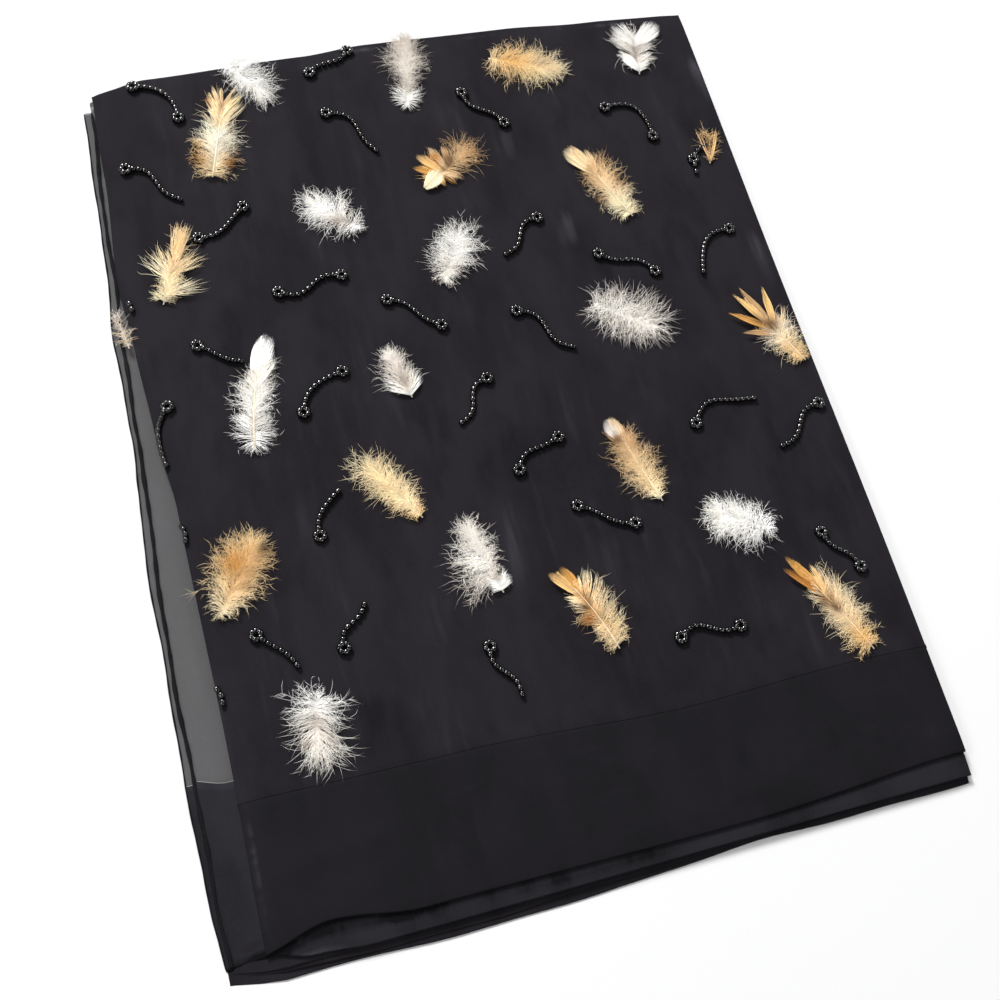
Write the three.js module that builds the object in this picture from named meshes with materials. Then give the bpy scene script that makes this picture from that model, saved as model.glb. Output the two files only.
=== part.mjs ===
// An evening stole of sheer black silk, folded lengthwise in two and crosswise in four and
// laid flat. Two plies show: the upper one, sewn with feathers and strands of glass beads,
// and the under one, whose side edge and end band stand out beside it. The folds that do
// not show share one rounded solid with a layered edge. Millimetres, +Z up, origin at the
// middle of the underside; X runs across the folded stole and Y along it.
import * as THREE from 'three';

// ---------- driving sizes ----------
const PLY = 1.2;             // wall of one ply
const HEM_WIDTH = 4;         // rolled hem of the side edge
const HEM_THICKNESS = 1.3;
const SEAM_GAP = 0.3;        // between neighbouring pieces
const HEM_GAP = 0.5;         // between the rolled hem and its ply
const CORE_HEIGHT = 4.2;     // the hidden folds together
const CORE_LEFT = -150;
const CORE_RIGHT = 173;
const UNDER_RIGHT = 174;
const CORE_SETBACK = 2.5;    // of the core's far edge from the upper ply's
const UNDER_SETBACK = 1.2;
const PLY_STEP = 32;         // grid step of the flat stretches
const CORE_STEP = 42;
const TRIM_GAP = 0.45;       // between a ply and what is sewn on it
const FEATHER_CROWN = 2.2;   // height of a feather over its shaft
const FEATHER_RIM = 1.0;
const BEAD_DIAMETER = 2.2;
const ROSETTE_RADIUS = 3.3;  // the little ring of beads that ends a strand

// ---------- edges, as rows from the near end to the far end or from left to right ----------
const SIDE_EDGE = [
  { y: -231, x: -173.5 }, { y: -190, x: -175 }, { y: -120, x: -175 }, { y: -50, x: -174 },
  { y: 0, x: -171.5 }, { y: 75, x: -169 }, { y: 125, x: -165.5 }, { y: 231, x: -161 },
];
const UPPER_FOLD = [
  { y: -231, x: -156.5 }, { y: -120, x: -155 }, { y: 0, x: -156 }, { y: 70, x: -160 },
  { y: 105, x: -162 }, { y: 172, x: -158 }, { y: 231, x: -156 },
];
const RIGHT_EDGE = [
  { y: -231, x: 174.4 }, { y: -100, x: 175 }, { y: 60, x: 174.4 }, { y: 200, x: 175 }, { y: 231, x: 175 },
];
const FAR_EDGE = [
  { x: -176, y: 214 }, { x: -152, y: 220 }, { x: -128, y: 225 }, { x: -45, y: 228 },
  { x: -10, y: 231 }, { x: 70, y: 230.5 }, { x: 115, y: 228 }, { x: 176, y: 226 },
];
const NEAR_EDGE = [
  { x: -176, y: -226 }, { x: -150, y: -230 }, { x: -77, y: -231 }, { x: 0, y: -230 },
  { x: 75, y: -226.5 }, { x: 176, y: -227.5 },
];
const UNDER_END = [
  { x: -176, y: -226 }, { x: -158, y: -229 }, { x: -140, y: -228 }, { x: -110, y: -224.5 }, { x: 176, y: -223 },
];
const UPPER_END = [
  { x: -160, y: -218 }, { x: -128, y: -211 }, { x: -88, y: -216 }, { x: 60, y: -217 }, { x: 176, y: -212 },
];
const UPPER_SEAM = [
  { x: -160, y: -155 }, { x: -58, y: -156 }, { x: 53, y: -161 }, { x: 134, y: -159 }, { x: 176, y: -160 },
];
const UNDER_SEAM = [{ x: -176, y: -139 }, { x: -156, y: -144 }, { x: 176, y: -150 }];

// Low swells of the stack where the hidden folds are thicker or thinner.
const SWELLS = [
  { x: -95, y: 120, across: 70, along: 110, height: 0.4 },
  { x: 60, y: 40, across: 80, along: 90, height: -0.4 },
  { x: -60, y: -70, across: 65, along: 90, height: 0.35 },
  { x: 120, y: -110, across: 70, along: 70, height: 0.35 },
  { x: 110, y: 175, across: 70, along: 70, height: 0.3 },
];

// The layered edge of the hidden folds: how high on the flank, and how far in from the
// outline at the two sides and the far end, and at the near end, where the folds step back.
const CORE_FLANK = [
  { lift: 0.0, side: 1.4, near: 1.2 },
  { lift: 0.12, side: 0.2, near: 0.1 },
  { lift: 0.24, side: 0.0, near: 0.0 },
  { lift: 0.34, side: 1.4, near: 1.6 },
  { lift: 0.46, side: 0.5, near: 3.0 },
  { lift: 0.58, side: 0.7, near: 3.2 },
  { lift: 0.67, side: 2.0, near: 4.6 },
  { lift: 0.8, side: 1.6, near: 5.0 },
  { lift: 0.92, side: 2.2, near: 5.6 },
  { lift: 1.0, side: 3.6, near: 7.5 },
];
const PLY_FLANK = [
  { lift: 0.0, side: 0.5, near: 0.5 },
  { lift: 0.5, side: 0.0, near: 0.0 },
  { lift: 1.0, side: 0.5, near: 0.5 },
];

// Feathers: where the quill starts, which way it points, its reach, and its tone.
const FEATHERS = [
  { x: -105, y: 159, heading: 73, length: 52, width: 27, tone: 'gold' },
  { x: -81, y: 221, heading: -58, length: 32, width: 18, tone: 'white' },
  { x: 4, y: 187, heading: 77, length: 38, width: 26, tone: 'white' },
  { x: 57, y: 210, heading: -23, length: 42, width: 22, tone: 'tan' },
  { x: 140, y: 192, heading: 80, length: 31, width: 26, tone: 'white' },
  { x: 3, y: 135, heading: 35, length: 39, width: 24, tone: 'tan' },
  { x: 104, y: 99, heading: 112, length: 47, width: 24, tone: 'gold' },
  { x: 158, y: 127, heading: 54, length: 17, width: 9, tone: 'tan' },
  { x: -40, y: 116, heading: 139, length: 31, width: 21, tone: 'white' },
  { x: -1, y: 79, heading: 69, length: 33, width: 24, tone: 'white' },
  { x: -142, y: 91, heading: 67, length: 41, width: 22, tone: 'tan' },
  { x: 70, y: 26, heading: 26, length: 42, width: 30, tone: 'white' },
  { x: 167, y: -1, heading: 116, length: 46, width: 22, tone: 'gold' },
  { x: -115, y: 7, heading: 75, length: 55, width: 24, tone: 'white' },
  { x: -36, y: 18, heading: 102, length: 29, width: 19, tone: 'white' },
  { x: 69, y: -60, heading: 105, length: 45, width: 25, tone: 'tan' },
  { x: -47, y: -44, heading: 124, length: 42, width: 22, tone: 'gold' },
  { x: 117, y: -86, heading: 152, length: 34, width: 23, tone: 'white' },
  { x: -146, y: -71, heading: 54, length: 42, width: 24, tone: 'gold' },
  { x: -17, y: -88, heading: 101, length: 38, width: 26, tone: 'white' },
  { x: 26, y: -126, heading: 114, length: 44, width: 22, tone: 'gold' },
  { x: 146, y: -154, heading: 117, length: 51, width: 24, tone: 'gold' },
  { x: -113, y: -115, heading: -104, length: 37, width: 27, tone: 'white' },
];
const TUCKED_FEATHER = { x: -164.6, y: 69, heading: 94, length: 17, width: 5, tone: 'tan' };

// Strands of beads: where one starts, its heading and length, how far it bows and sways
// sideways, and whether its start and its end carry a rosette.
const STRANDS = [
  { x: -135, y: 220, heading: -50, length: 30, bow: 7, sway: 0, start: true, end: true },
  { x: -43, y: 215, heading: 27, length: 26, bow: -1, sway: 1.5, start: true, end: true },
  { x: -147, y: 170, heading: -44, length: 32, bow: 2.5, sway: 2.5, start: true, end: false },
  { x: -40, y: 188, heading: -53, length: 34, bow: 4.5, sway: 2.5, start: true, end: false },
  { x: 35, y: 190, heading: -52, length: 29, bow: -2, sway: -2, start: true, end: true },
  { x: 111, y: 168, heading: -47, length: 31, bow: 10, sway: 1, start: true, end: true },
  { x: 150, y: 127, heading: -98, length: 8, bow: 0, sway: 0, start: true, end: false },
  { x: -94, y: 138, heading: -150, length: 24, bow: 3.5, sway: -1, start: true, end: false },
  { x: -87, y: 86, heading: 7, length: 33, bow: -1.5, sway: -3, start: true, end: true },
  { x: -35, y: 72, heading: -39, length: 30, bow: 1, sway: 1.5, start: true, end: true },
  { x: 54, y: 106, heading: -140, length: 29, bow: -1, sway: -2.5, start: true, end: false },
  { x: 80, y: 79, heading: -30, length: 31, bow: 1.5, sway: -2, start: true, end: true },
  { x: 155, y: 81, heading: -135, length: 32, bow: -7, sway: -1, start: true, end: false },
  { x: 28, y: 54, heading: -48, length: 34, bow: 1, sway: 3, start: true, end: false },
  { x: -131, y: 64, heading: -33, length: 12, bow: -1, sway: 0.5, start: true, end: false },
  { x: -66, y: 37, heading: -142, length: 29, bow: -5, sway: 0.5, start: true, end: true },
  { x: 3, y: 20, heading: -131, length: 28, bow: -1, sway: -2.5, start: true, end: false },
  { x: 100, y: -25, heading: 12, length: 35, bow: 6.5, sway: 2, start: true, end: false },
  { x: 167, y: -27, heading: -145, length: 33, bow: -0.5, sway: -2.5, start: true, end: false },
  { x: -150.5, y: 35, heading: -102, length: 29, bow: -4, sway: -0.5, start: true, end: false },
  { x: 29, y: -18, heading: -151, length: 27, bow: -3, sway: 1.5, start: true, end: true },
  { x: -82, y: -24, heading: -123, length: 24, bow: -3.5, sway: 0.5, start: false, end: true },
  { x: 28, y: -55, heading: -30, length: 29, bow: -1.5, sway: 1, start: true, end: true },
  { x: 143, y: -94, heading: -58, length: 25, bow: -0.5, sway: -1.5, start: true, end: true },
  { x: 57, y: -129, heading: -2, length: 30, bow: 2, sway: 2.5, start: true, end: true },
  { x: -83, y: -81, heading: -127, length: 22, bow: -2, sway: 1.5, start: false, end: true },
  { x: -133, y: -84, heading: -50, length: 23, bow: 1, sway: -0.5, start: true, end: false },
  { x: -32, y: -113, heading: -71, length: 26, bow: -1, sway: -2, start: true, end: false },
];

// ---------- finishes ----------
const silk = (shade) => new THREE.MeshStandardMaterial({ color: shade, roughness: 0.85, metalness: 0 });
const SILK_PLY = 0x2b2a30;
const SILK_BAND = 0x232327;
const SILK_STRIP = 0x505055;
const FEATHER_SHADES = { white: 0xe6e2dc, tan: 0xc69a63, gold: 0xd08f45 };
const BEAD_GLASS = new THREE.MeshStandardMaterial({ color: 0x0b0b0d, roughness: 0.12, metalness: 0 });

// ---------- small tools ----------
const smooth = (t) => {
  const s = Math.min(1, Math.max(0, t));
  return s * s * (3 - 2 * s);
};

// The value of one column where another reaches `at`, easing from row to row.
function follow(rows, by, column, at) {
  if (at <= rows[0][by]) return rows[0][column];
  const next = rows.findIndex((row) => row[by] >= at);
  if (next < 0) return rows[rows.length - 1][column];
  const before = rows[next - 1];
  const after = rows[next];
  const t = (at - before[by]) / (after[by] - before[by]);
  return before[column] + (after[column] - before[column]) * smooth(t);
}

const sideAt = (rows) => (y) => follow(rows, 'y', 'x', y);
const endAt = (rows) => (x) => follow(rows, 'x', 'y', x);

// Fractions along a length: close rows of points near both ends, even steps between.
function stations(length, nearStart, nearEnd, step) {
  const first = nearStart[nearStart.length - 1];
  const last = length - nearEnd[nearEnd.length - 1];
  const steps = Math.max(1, Math.round((last - first) / step));
  const even = Array.from({ length: steps - 1 }, (_, i) => first + ((last - first) * (i + 1)) / steps);
  const closing = [...nearEnd].reverse().map((d) => length - d);
  return [...nearStart, ...even, ...closing].map((d) => d / length);
}

// ---------- heights ----------
const swell = (x, y) => SWELLS.reduce((sum, s) => {
  const reach = ((x - s.x) / s.across) ** 2 + ((y - s.y) / s.along) ** 2;
  return sum + s.height * Math.exp(-reach);
}, 0);

// The stack thins towards its edges, most of all at the near end.
function shoulder(x, y) {
  const near = 0.6 + 0.4 * smooth((y + 228) / 24);
  const far = 0.8 + 0.2 * smooth((232 - y) / 16);
  const right = 0.8 + 0.2 * smooth((176 - x) / 14);
  return near * far * right;
}

const coreTop = (x, y) => (CORE_HEIGHT + swell(x, y)) * shoulder(x, y);
// The plies lie on the core and come down to the table beside its left flank.
const FOOT = -165;
const BROW = -147;
const underBottom = (x, y) => (coreTop(x, y) + SEAM_GAP) * smooth((x - FOOT) / (BROW - FOOT));
const underTop = (x, y) => underBottom(x, y) + PLY;
const upperBottom = (x, y) => underTop(x, y) + SEAM_GAP;
const upperTop = (x, y) => upperBottom(x, y) + PLY;

// ---------- solids ----------
function meshFrom(points, faces, name, material) {
  const geometry = new THREE.BufferGeometry();
  geometry.setAttribute('position', new THREE.Float32BufferAttribute(points.flat(), 3));
  geometry.setIndex(faces.flat());
  geometry.computeVertexNormals();
  const mesh = new THREE.Mesh(geometry, material);
  mesh.name = name;
  return mesh;
}

// A wall between four edges. `edges` gives x of the two sides for a y, and y of the two ends
// for an x; `flank` gives the rings that the rim runs through from the bottom to the top.
function wall({ name, material, edges, bottom, top, flank, us, vs }) {
  const columns = us.length;
  const rows = vs.length;
  const yRough = (v) => THREE.MathUtils.lerp(edges.near(0), edges.far(0), v);
  const place = (i, j, ring) => {
    const across = (y) => THREE.MathUtils.lerp(edges.left(y) + ring.side, edges.right(y) - ring.side, us[i]);
    const along = (x) => THREE.MathUtils.lerp(edges.near(x) + ring.near, edges.far(x) - ring.side, vs[j]);
    const y = along(across(yRough(vs[j])));
    return [across(y), y];
  };
  const points = [];
  const faces = [];
  const sheet = (ring, height) => {
    const start = points.length;
    for (let j = 0; j < rows; j += 1) {
      for (let i = 0; i < columns; i += 1) {
        const [x, y] = place(i, j, ring);
        points.push([x, y, height(x, y)]);
      }
    }
    return (i, j) => start + j * columns + i;
  };
  const lowest = flank[0];
  const highest = flank[flank.length - 1];
  const under = sheet(lowest, bottom);
  const over = sheet(highest, top);
  for (let j = 0; j < rows - 1; j += 1) {
    for (let i = 0; i < columns - 1; i += 1) {
      faces.push([over(i, j), over(i + 1, j), over(i + 1, j + 1)]);
      faces.push([over(i, j), over(i + 1, j + 1), over(i, j + 1)]);
      faces.push([under(i, j), under(i + 1, j + 1), under(i + 1, j)]);
      faces.push([under(i, j), under(i, j + 1), under(i + 1, j + 1)]);
    }
  }
  const rim = [];
  for (let i = 0; i < columns - 1; i += 1) rim.push([i, 0]);
  for (let j = 0; j < rows - 1; j += 1) rim.push([columns - 1, j]);
  for (let i = columns - 1; i > 0; i -= 1) rim.push([i, rows - 1]);
  for (let j = rows - 1; j > 0; j -= 1) rim.push([0, j]);
  let below = rim.map(([i, j]) => under(i, j));
  for (const ring of flank.slice(1)) {
    const above = ring === highest ? rim.map(([i, j]) => over(i, j)) : rim.map(([i, j]) => {
      const [x, y] = place(i, j, ring);
      const [xTop, yTop] = place(i, j, highest);
      const foot = bottom(xTop, yTop);
      points.push([x, y, foot + (top(xTop, yTop) - foot) * ring.lift]);
      return points.length - 1;
    });
    for (let k = 0; k < rim.length; k += 1) {
      const next = (k + 1) % rim.length;
      faces.push([below[k], below[next], above[next]]);
      faces.push([below[k], above[next], above[k]]);
    }
    below = above;
  }
  return meshFrom(points, faces, name, material);
}

// What is sewn on a ply: a low solid along a path, its underside on the ply's own surface.
function sewnOn({ name, material, path, halfWidth, rim, crown, ground, steps }) {
  const points = [];
  const faces = [];
  const section = (d) => {
    const [x, y] = path(d);
    const [xa, ya] = path(d - 0.2);
    const [xb, yb] = path(d + 0.2);
    const run = Math.hypot(xb - xa, yb - ya);
    const across = [-(yb - ya) / run, (xb - xa) / run];
    const half = halfWidth(d);
    const left = [x + across[0] * half, y + across[1] * half];
    const right = [x - across[0] * half, y - across[1] * half];
    const lift = ([px, py], height) => [px, py, ground(px, py) + height];
    const ring = [lift([x, y], TRIM_GAP), lift(right, TRIM_GAP), lift(right, TRIM_GAP + rim)];
    ring.push(lift([x, y], TRIM_GAP + crown), lift(left, TRIM_GAP + rim), lift(left, TRIM_GAP));
    return ring;
  };
  const rings = steps.map((d) => section(d).map((point) => points.push(point) - 1));
  const sides = rings[0].length;
  for (let k = 0; k < rings.length - 1; k += 1) {
    for (let s = 0; s < sides; s += 1) {
      const t = (s + 1) % sides;
      faces.push([rings[k][s], rings[k + 1][t], rings[k][t]]);
      faces.push([rings[k][s], rings[k + 1][s], rings[k + 1][t]]);
    }
  }
  const cap = (ring, outward) => {
    for (let s = 1; s < sides - 1; s += 1) {
      faces.push(outward ? [ring[0], ring[s + 1], ring[s]] : [ring[0], ring[s], ring[s + 1]]);
    }
  };
  cap(rings[0], false);
  cap(rings[rings.length - 1], true);
  return meshFrom(points, faces, name, material);
}

// ---------- cloth ----------
const LEFT_CLOSE = [0, 3, 6, 9, 12, 15, 18, 22, 28, 38];
const RIGHT_CLOSE = [0, 5, 13];
const END_CLOSE = [0, 6, 13, 22];
const FAR_CLOSE = [0, 5, 12];
const WIDTH = 350;
const PANEL_LENGTH = 385;
const BAND_LENGTH = 75;

const shift = (edge, by) => (at) => edge(at) + by;
const sideEdge = sideAt(SIDE_EDGE);
const farEdge = endAt(FAR_EDGE);
const nearEdge = endAt(NEAR_EDGE);
const underSeam = endAt(UNDER_SEAM);
const upperSeam = endAt(UPPER_SEAM);
const underSide = shift(sideEdge, HEM_WIDTH + HEM_GAP);
const seamHalf = SEAM_GAP / 2;

function hiddenFolds() {
  return wall({
    name: 'hidden_folds',
    material: silk(SILK_BAND),
    edges: { left: () => CORE_LEFT, right: () => CORE_RIGHT, near: nearEdge, far: shift(farEdge, -CORE_SETBACK) },
    bottom: () => 0,
    top: coreTop,
    flank: CORE_FLANK,
    us: stations(WIDTH, [0, 8], RIGHT_CLOSE, CORE_STEP),
    vs: stations(PANEL_LENGTH + BAND_LENGTH, [0, 7, 15, 24], FAR_CLOSE, CORE_STEP),
  });
}

function underPanel() {
  return wall({
    name: 'under_panel',
    material: silk(SILK_STRIP),
    edges: {
      left: underSide,
      right: () => UNDER_RIGHT,
      near: shift(underSeam, seamHalf),
      far: shift(farEdge, -UNDER_SETBACK),
    },
    bottom: underBottom,
    top: underTop,
    flank: PLY_FLANK,
    us: stations(WIDTH, LEFT_CLOSE, RIGHT_CLOSE, PLY_STEP),
    vs: stations(PANEL_LENGTH, [0], FAR_CLOSE, PLY_STEP),
  });
}

function underEndBand() {
  return wall({
    name: 'under_end_band',
    material: silk(SILK_BAND),
    edges: { left: underSide, right: () => UNDER_RIGHT, near: endAt(UNDER_END), far: shift(underSeam, -seamHalf) },
    bottom: underBottom,
    top: underTop,
    flank: PLY_FLANK,
    us: stations(WIDTH, LEFT_CLOSE, RIGHT_CLOSE, PLY_STEP),
    vs: stations(BAND_LENGTH, END_CLOSE, [0], PLY_STEP),
  });
}

function sideHem() {
  return wall({
    name: 'side_hem',
    material: silk(SILK_BAND),
    edges: {
      left: sideEdge,
      right: shift(sideEdge, HEM_WIDTH),
      near: endAt(UNDER_END),
      far: shift(farEdge, -UNDER_SETBACK),
    },
    bottom: () => 0,
    top: () => HEM_THICKNESS,
    flank: PLY_FLANK,
    us: [0, 0.5, 1],
    vs: stations(PANEL_LENGTH + BAND_LENGTH, [0], [0], PLY_STEP / 2),
  });
}

function upperPanel() {
  return wall({
    name: 'upper_panel',
    material: silk(SILK_PLY),
    edges: { left: sideAt(UPPER_FOLD), right: sideAt(RIGHT_EDGE), near: shift(upperSeam, seamHalf), far: farEdge },
    bottom: upperBottom,
    top: upperTop,
    flank: PLY_FLANK,
    us: stations(WIDTH, LEFT_CLOSE, RIGHT_CLOSE, PLY_STEP),
    vs: stations(PANEL_LENGTH, [0], FAR_CLOSE, PLY_STEP),
  });
}

function upperEndBand() {
  return wall({
    name: 'upper_end_band',
    material: silk(SILK_BAND),
    edges: {
      left: sideAt(UPPER_FOLD),
      right: sideAt(RIGHT_EDGE),
      near: endAt(UPPER_END),
      far: shift(upperSeam, -seamHalf),
    },
    bottom: upperBottom,
    top: upperTop,
    flank: PLY_FLANK,
    us: stations(WIDTH, LEFT_CLOSE, RIGHT_CLOSE, PLY_STEP),
    vs: stations(BAND_LENGTH, END_CLOSE.slice(0, 3), [0], PLY_STEP),
  });
}

// ---------- trimming ----------
const label = (stem, index) => `${stem}_${String(index + 1).padStart(2, '0')}`;

// A feather is narrow at its quill, widest past its middle and blunt at its tip.
const FEATHER_PROFILE = [
  { along: 0, width: 0.22 }, { along: 0.1, width: 0.62 }, { along: 0.3, width: 0.9 },
  { along: 0.55, width: 1 }, { along: 0.8, width: 0.82 }, { along: 0.94, width: 0.5 }, { along: 1, width: 0.2 },
];

function feather(row, name, ground, crown) {
  const heading = THREE.MathUtils.degToRad(row.heading);
  return sewnOn({
    name,
    material: new THREE.MeshStandardMaterial({ color: FEATHER_SHADES[row.tone], roughness: 0.95, metalness: 0 }),
    path: (d) => [row.x + Math.cos(heading) * d, row.y + Math.sin(heading) * d],
    halfWidth: (d) => (row.width / 2) * follow(FEATHER_PROFILE, 'along', 'width', d / row.length),
    rim: Math.min(FEATHER_RIM, crown / 2),
    crown,
    ground,
    steps: FEATHER_PROFILE.map((stop) => stop.along * row.length),
  });
}

function strand(row, name) {
  const heading = THREE.MathUtils.degToRad(row.heading);
  const [cos, sin] = [Math.cos(heading), Math.sin(heading)];
  const plain = BEAD_DIAMETER / 2;
  const path = (d) => {
    const s = d / row.length;
    const aside = row.bow * 4 * s * (1 - s) + row.sway * Math.sin(2 * Math.PI * s);
    return [row.x + cos * d - sin * aside, row.y + sin * d + cos * aside];
  };
  const round = (d) => Math.sqrt(Math.max(0, ROSETTE_RADIUS ** 2 - d ** 2));
  const halfWidth = (d) => Math.max(plain, row.start ? round(d) : 0, row.end ? round(row.length - d) : 0);
  const rosette = [-0.95, -0.6, 0, 0.6, 1].map((part) => part * ROSETTE_RADIUS);
  const opening = row.start ? rosette : [-plain];
  const closing = row.end ? [...rosette].reverse().map((d) => row.length - d) : [row.length + plain];
  const first = opening[opening.length - 1];
  const last = closing[0];
  const count = Math.max(1, Math.round((last - first) / 4));
  const between = Array.from({ length: count - 1 }, (_, i) => first + ((last - first) * (i + 1)) / count);
  return sewnOn({
    name,
    material: BEAD_GLASS,
    path,
    halfWidth,
    rim: BEAD_DIAMETER * 0.5,
    crown: BEAD_DIAMETER,
    ground: upperTop,
    steps: [...opening, ...between, ...closing],
  });
}

const TUCKED_CROWN = 0.7;
const onUnderPly = (x, y) => Math.max(underTop(x, y), HEM_THICKNESS);

const stole = new THREE.Group();
stole.add(hiddenFolds(), underPanel(), underEndBand(), sideHem(), upperPanel(), upperEndBand());
FEATHERS.forEach((row, index) => stole.add(feather(row, label('feather', index), upperTop, FEATHER_CROWN)));
stole.add(feather(TUCKED_FEATHER, label('feather', FEATHERS.length), onUnderPly, TUCKED_CROWN));
STRANDS.forEach((row, index) => stole.add(strand(row, label('bead_strand', index))));

export default stole;
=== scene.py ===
"""A folded evening stole of sheer black silk, sewn with feathers and strands of glass beads.

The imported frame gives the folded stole's box, bodies and nodes. Sizes here are in
millimetres, in the frame's own axes, and become metres when a mesh is made: X runs across
the folded stole, Y along it away from the end band, and Z up off the table.
"""

from __future__ import annotations

import logging
import math
from dataclasses import dataclass
from enum import Enum
from typing import Callable, Iterable, NamedTuple, Sequence

import bpy
import numpy as np
from mathutils import Matrix, Vector

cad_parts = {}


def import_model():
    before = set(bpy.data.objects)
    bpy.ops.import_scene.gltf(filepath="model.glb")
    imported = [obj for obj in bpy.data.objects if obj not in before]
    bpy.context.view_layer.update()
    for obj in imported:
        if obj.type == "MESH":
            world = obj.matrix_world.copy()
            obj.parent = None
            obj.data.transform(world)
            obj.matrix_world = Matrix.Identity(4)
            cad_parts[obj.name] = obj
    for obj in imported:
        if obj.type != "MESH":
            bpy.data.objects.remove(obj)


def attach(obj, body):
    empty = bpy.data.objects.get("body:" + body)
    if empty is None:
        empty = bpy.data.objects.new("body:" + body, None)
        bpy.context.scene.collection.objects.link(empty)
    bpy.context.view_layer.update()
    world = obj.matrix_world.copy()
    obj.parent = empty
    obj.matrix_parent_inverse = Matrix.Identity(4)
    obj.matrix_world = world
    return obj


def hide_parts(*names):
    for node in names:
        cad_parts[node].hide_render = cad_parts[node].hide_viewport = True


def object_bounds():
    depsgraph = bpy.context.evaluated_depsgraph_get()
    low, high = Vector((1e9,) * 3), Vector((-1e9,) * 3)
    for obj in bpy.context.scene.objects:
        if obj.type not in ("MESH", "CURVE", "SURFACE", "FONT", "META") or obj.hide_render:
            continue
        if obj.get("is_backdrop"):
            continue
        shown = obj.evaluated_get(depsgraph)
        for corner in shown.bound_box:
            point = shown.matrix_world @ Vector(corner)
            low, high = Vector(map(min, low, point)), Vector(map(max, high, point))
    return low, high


logging.basicConfig(level=logging.INFO, format="%(message)s")
LOG = logging.getLogger("stole")

MM = 0.001
Array = np.ndarray
Edge = Callable[[Array], Array]
Height = Callable[[Array, Array], Array]


# ---------- tables ----------
class Stop(NamedTuple):
    """One row of an edge: where along it, and how far out the edge lies there."""

    at: float
    out: float


class Swell(NamedTuple):
    """A place where the hidden folds lie thicker or thinner."""

    x: float
    y: float
    across: float
    along: float
    height: float


class Crease(NamedTuple):
    """A soft ridge, or a trough where its height is negative."""

    x: float
    y: float
    heading: float
    length: float
    width: float
    height: float


SIDE_EDGE = (Stop(-231, -173.5), Stop(-190, -175), Stop(-120, -175), Stop(-50, -174),
             Stop(0, -171), Stop(25, -169.6), Stop(75, -168.8), Stop(125, -165.5), Stop(231, -161))
UPPER_FOLD = (Stop(-231, -156.5), Stop(-120, -155), Stop(-16, -155.6), Stop(24, -158.8), Stop(70, -160.2),
              Stop(105, -162), Stop(172, -158), Stop(231, -156))
RIGHT_EDGE = (Stop(-231, 174.4), Stop(-100, 175), Stop(60, 174.4), Stop(200, 175), Stop(231, 175))
FAR_EDGE = (Stop(-176, 214), Stop(-152, 220), Stop(-128, 225), Stop(-45, 228),
            Stop(-10, 231), Stop(70, 230.5), Stop(115, 228), Stop(176, 226))
NEAR_EDGE = (Stop(-176, -226), Stop(-150, -230), Stop(-77, -231), Stop(0, -230),
             Stop(75, -226.5), Stop(176, -227.5))
UNDER_END = (Stop(-176, -219.2), Stop(-156, -218.4), Stop(-136, -222.6), Stop(-112, -224.5), Stop(176, -223))
UPPER_END = (Stop(-160, -218), Stop(-128, -211), Stop(-88, -216), Stop(60, -217), Stop(176, -212))
UPPER_SEAM = (Stop(-160, -155), Stop(-58, -156), Stop(53, -161), Stop(134, -159), Stop(176, -160))
UNDER_SEAM = (Stop(-176, -139), Stop(-156, -144), Stop(176, -150))

SWELLS = (Swell(-95, 120, 70, 110, 0.4), Swell(60, 40, 80, 90, -0.4), Swell(-60, -70, 65, 90, 0.35),
          Swell(120, -110, 70, 70, 0.35), Swell(110, 175, 70, 70, 0.3))

PANEL_CREASES = (
    Crease(-70, 40, 94, 120, 9, 0.35), Crease(-58, 52, 96, 70, 4, -0.35), Crease(-95, -40, 84, 90, 7, 0.4),
    Crease(-86, -52, 88, 60, 4, -0.3), Crease(-22, 30, 101, 80, 6, 0.4), Crease(-10, -30, 86, 110, 8, 0.4),
    Crease(0, -55, 92, 60, 4, -0.4), Crease(18, -70, 95, 70, 6, 0.35), Crease(40, 20, 82, 60, 6, -0.35),
    Crease(62, -30, 88, 100, 7, 0.35), Crease(74, -90, 97, 70, 5, 0.35), Crease(92, -70, 85, 50, 4, -0.3),
    Crease(108, 10, 95, 120, 9, 0.35), Crease(122, -40, 91, 80, 6, 0.4), Crease(140, 20, 86, 60, 5, -0.3),
    Crease(158, 60, 96, 90, 6, 0.45), Crease(150, 150, 98, 80, 6, 0.4), Crease(86, 130, 104, 60, 5, 0.35),
    Crease(30, 150, 100, 70, 6, 0.35), Crease(22, 110, 84, 50, 4, -0.35), Crease(-26, 140, 88, 60, 6, 0.35),
    Crease(-60, 175, 82, 70, 6, 0.35), Crease(-118, 130, 92, 60, 7, 0.3), Crease(-132, 20, 88, 60, 6, 0.3),
    Crease(-128, -60, 93, 70, 7, 0.35), Crease(-50, -110, 80, 60, 6, 0.35), Crease(20, -130, 92, 40, 5, 0.3),
    Crease(126, 205, 92, 40, 5, 0.35), Crease(-8, 195, 96, 50, 6, 0.3), Crease(64, 75, 78, 40, 4, 0.3),
    Crease(-36, -70, 40, 26, 3, 0.35), Crease(-44, -84, 62, 30, 3, -0.3), Crease(-66, 24, 130, 24, 3, 0.3),
    Crease(-58, 30, 150, 22, 3, -0.25), Crease(46, -96, 118, 30, 3, 0.3), Crease(110, -128, 20, 60, 5, 0.3),
)
BAND_CREASES = (
    Crease(-120, -185, 8, 60, 6, 0.35), Crease(-60, -200, -6, 80, 6, 0.3), Crease(20, -180, 4, 90, 8, 0.3),
    Crease(90, -195, 12, 70, 6, 0.35), Crease(140, -178, 80, 40, 7, -0.3), Crease(-30, -172, 60, 36, 6, 0.25),
    Crease(60, -206, 2, 70, 4, 0.3), Crease(-100, -206, 16, 40, 4, -0.3),
)
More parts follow.
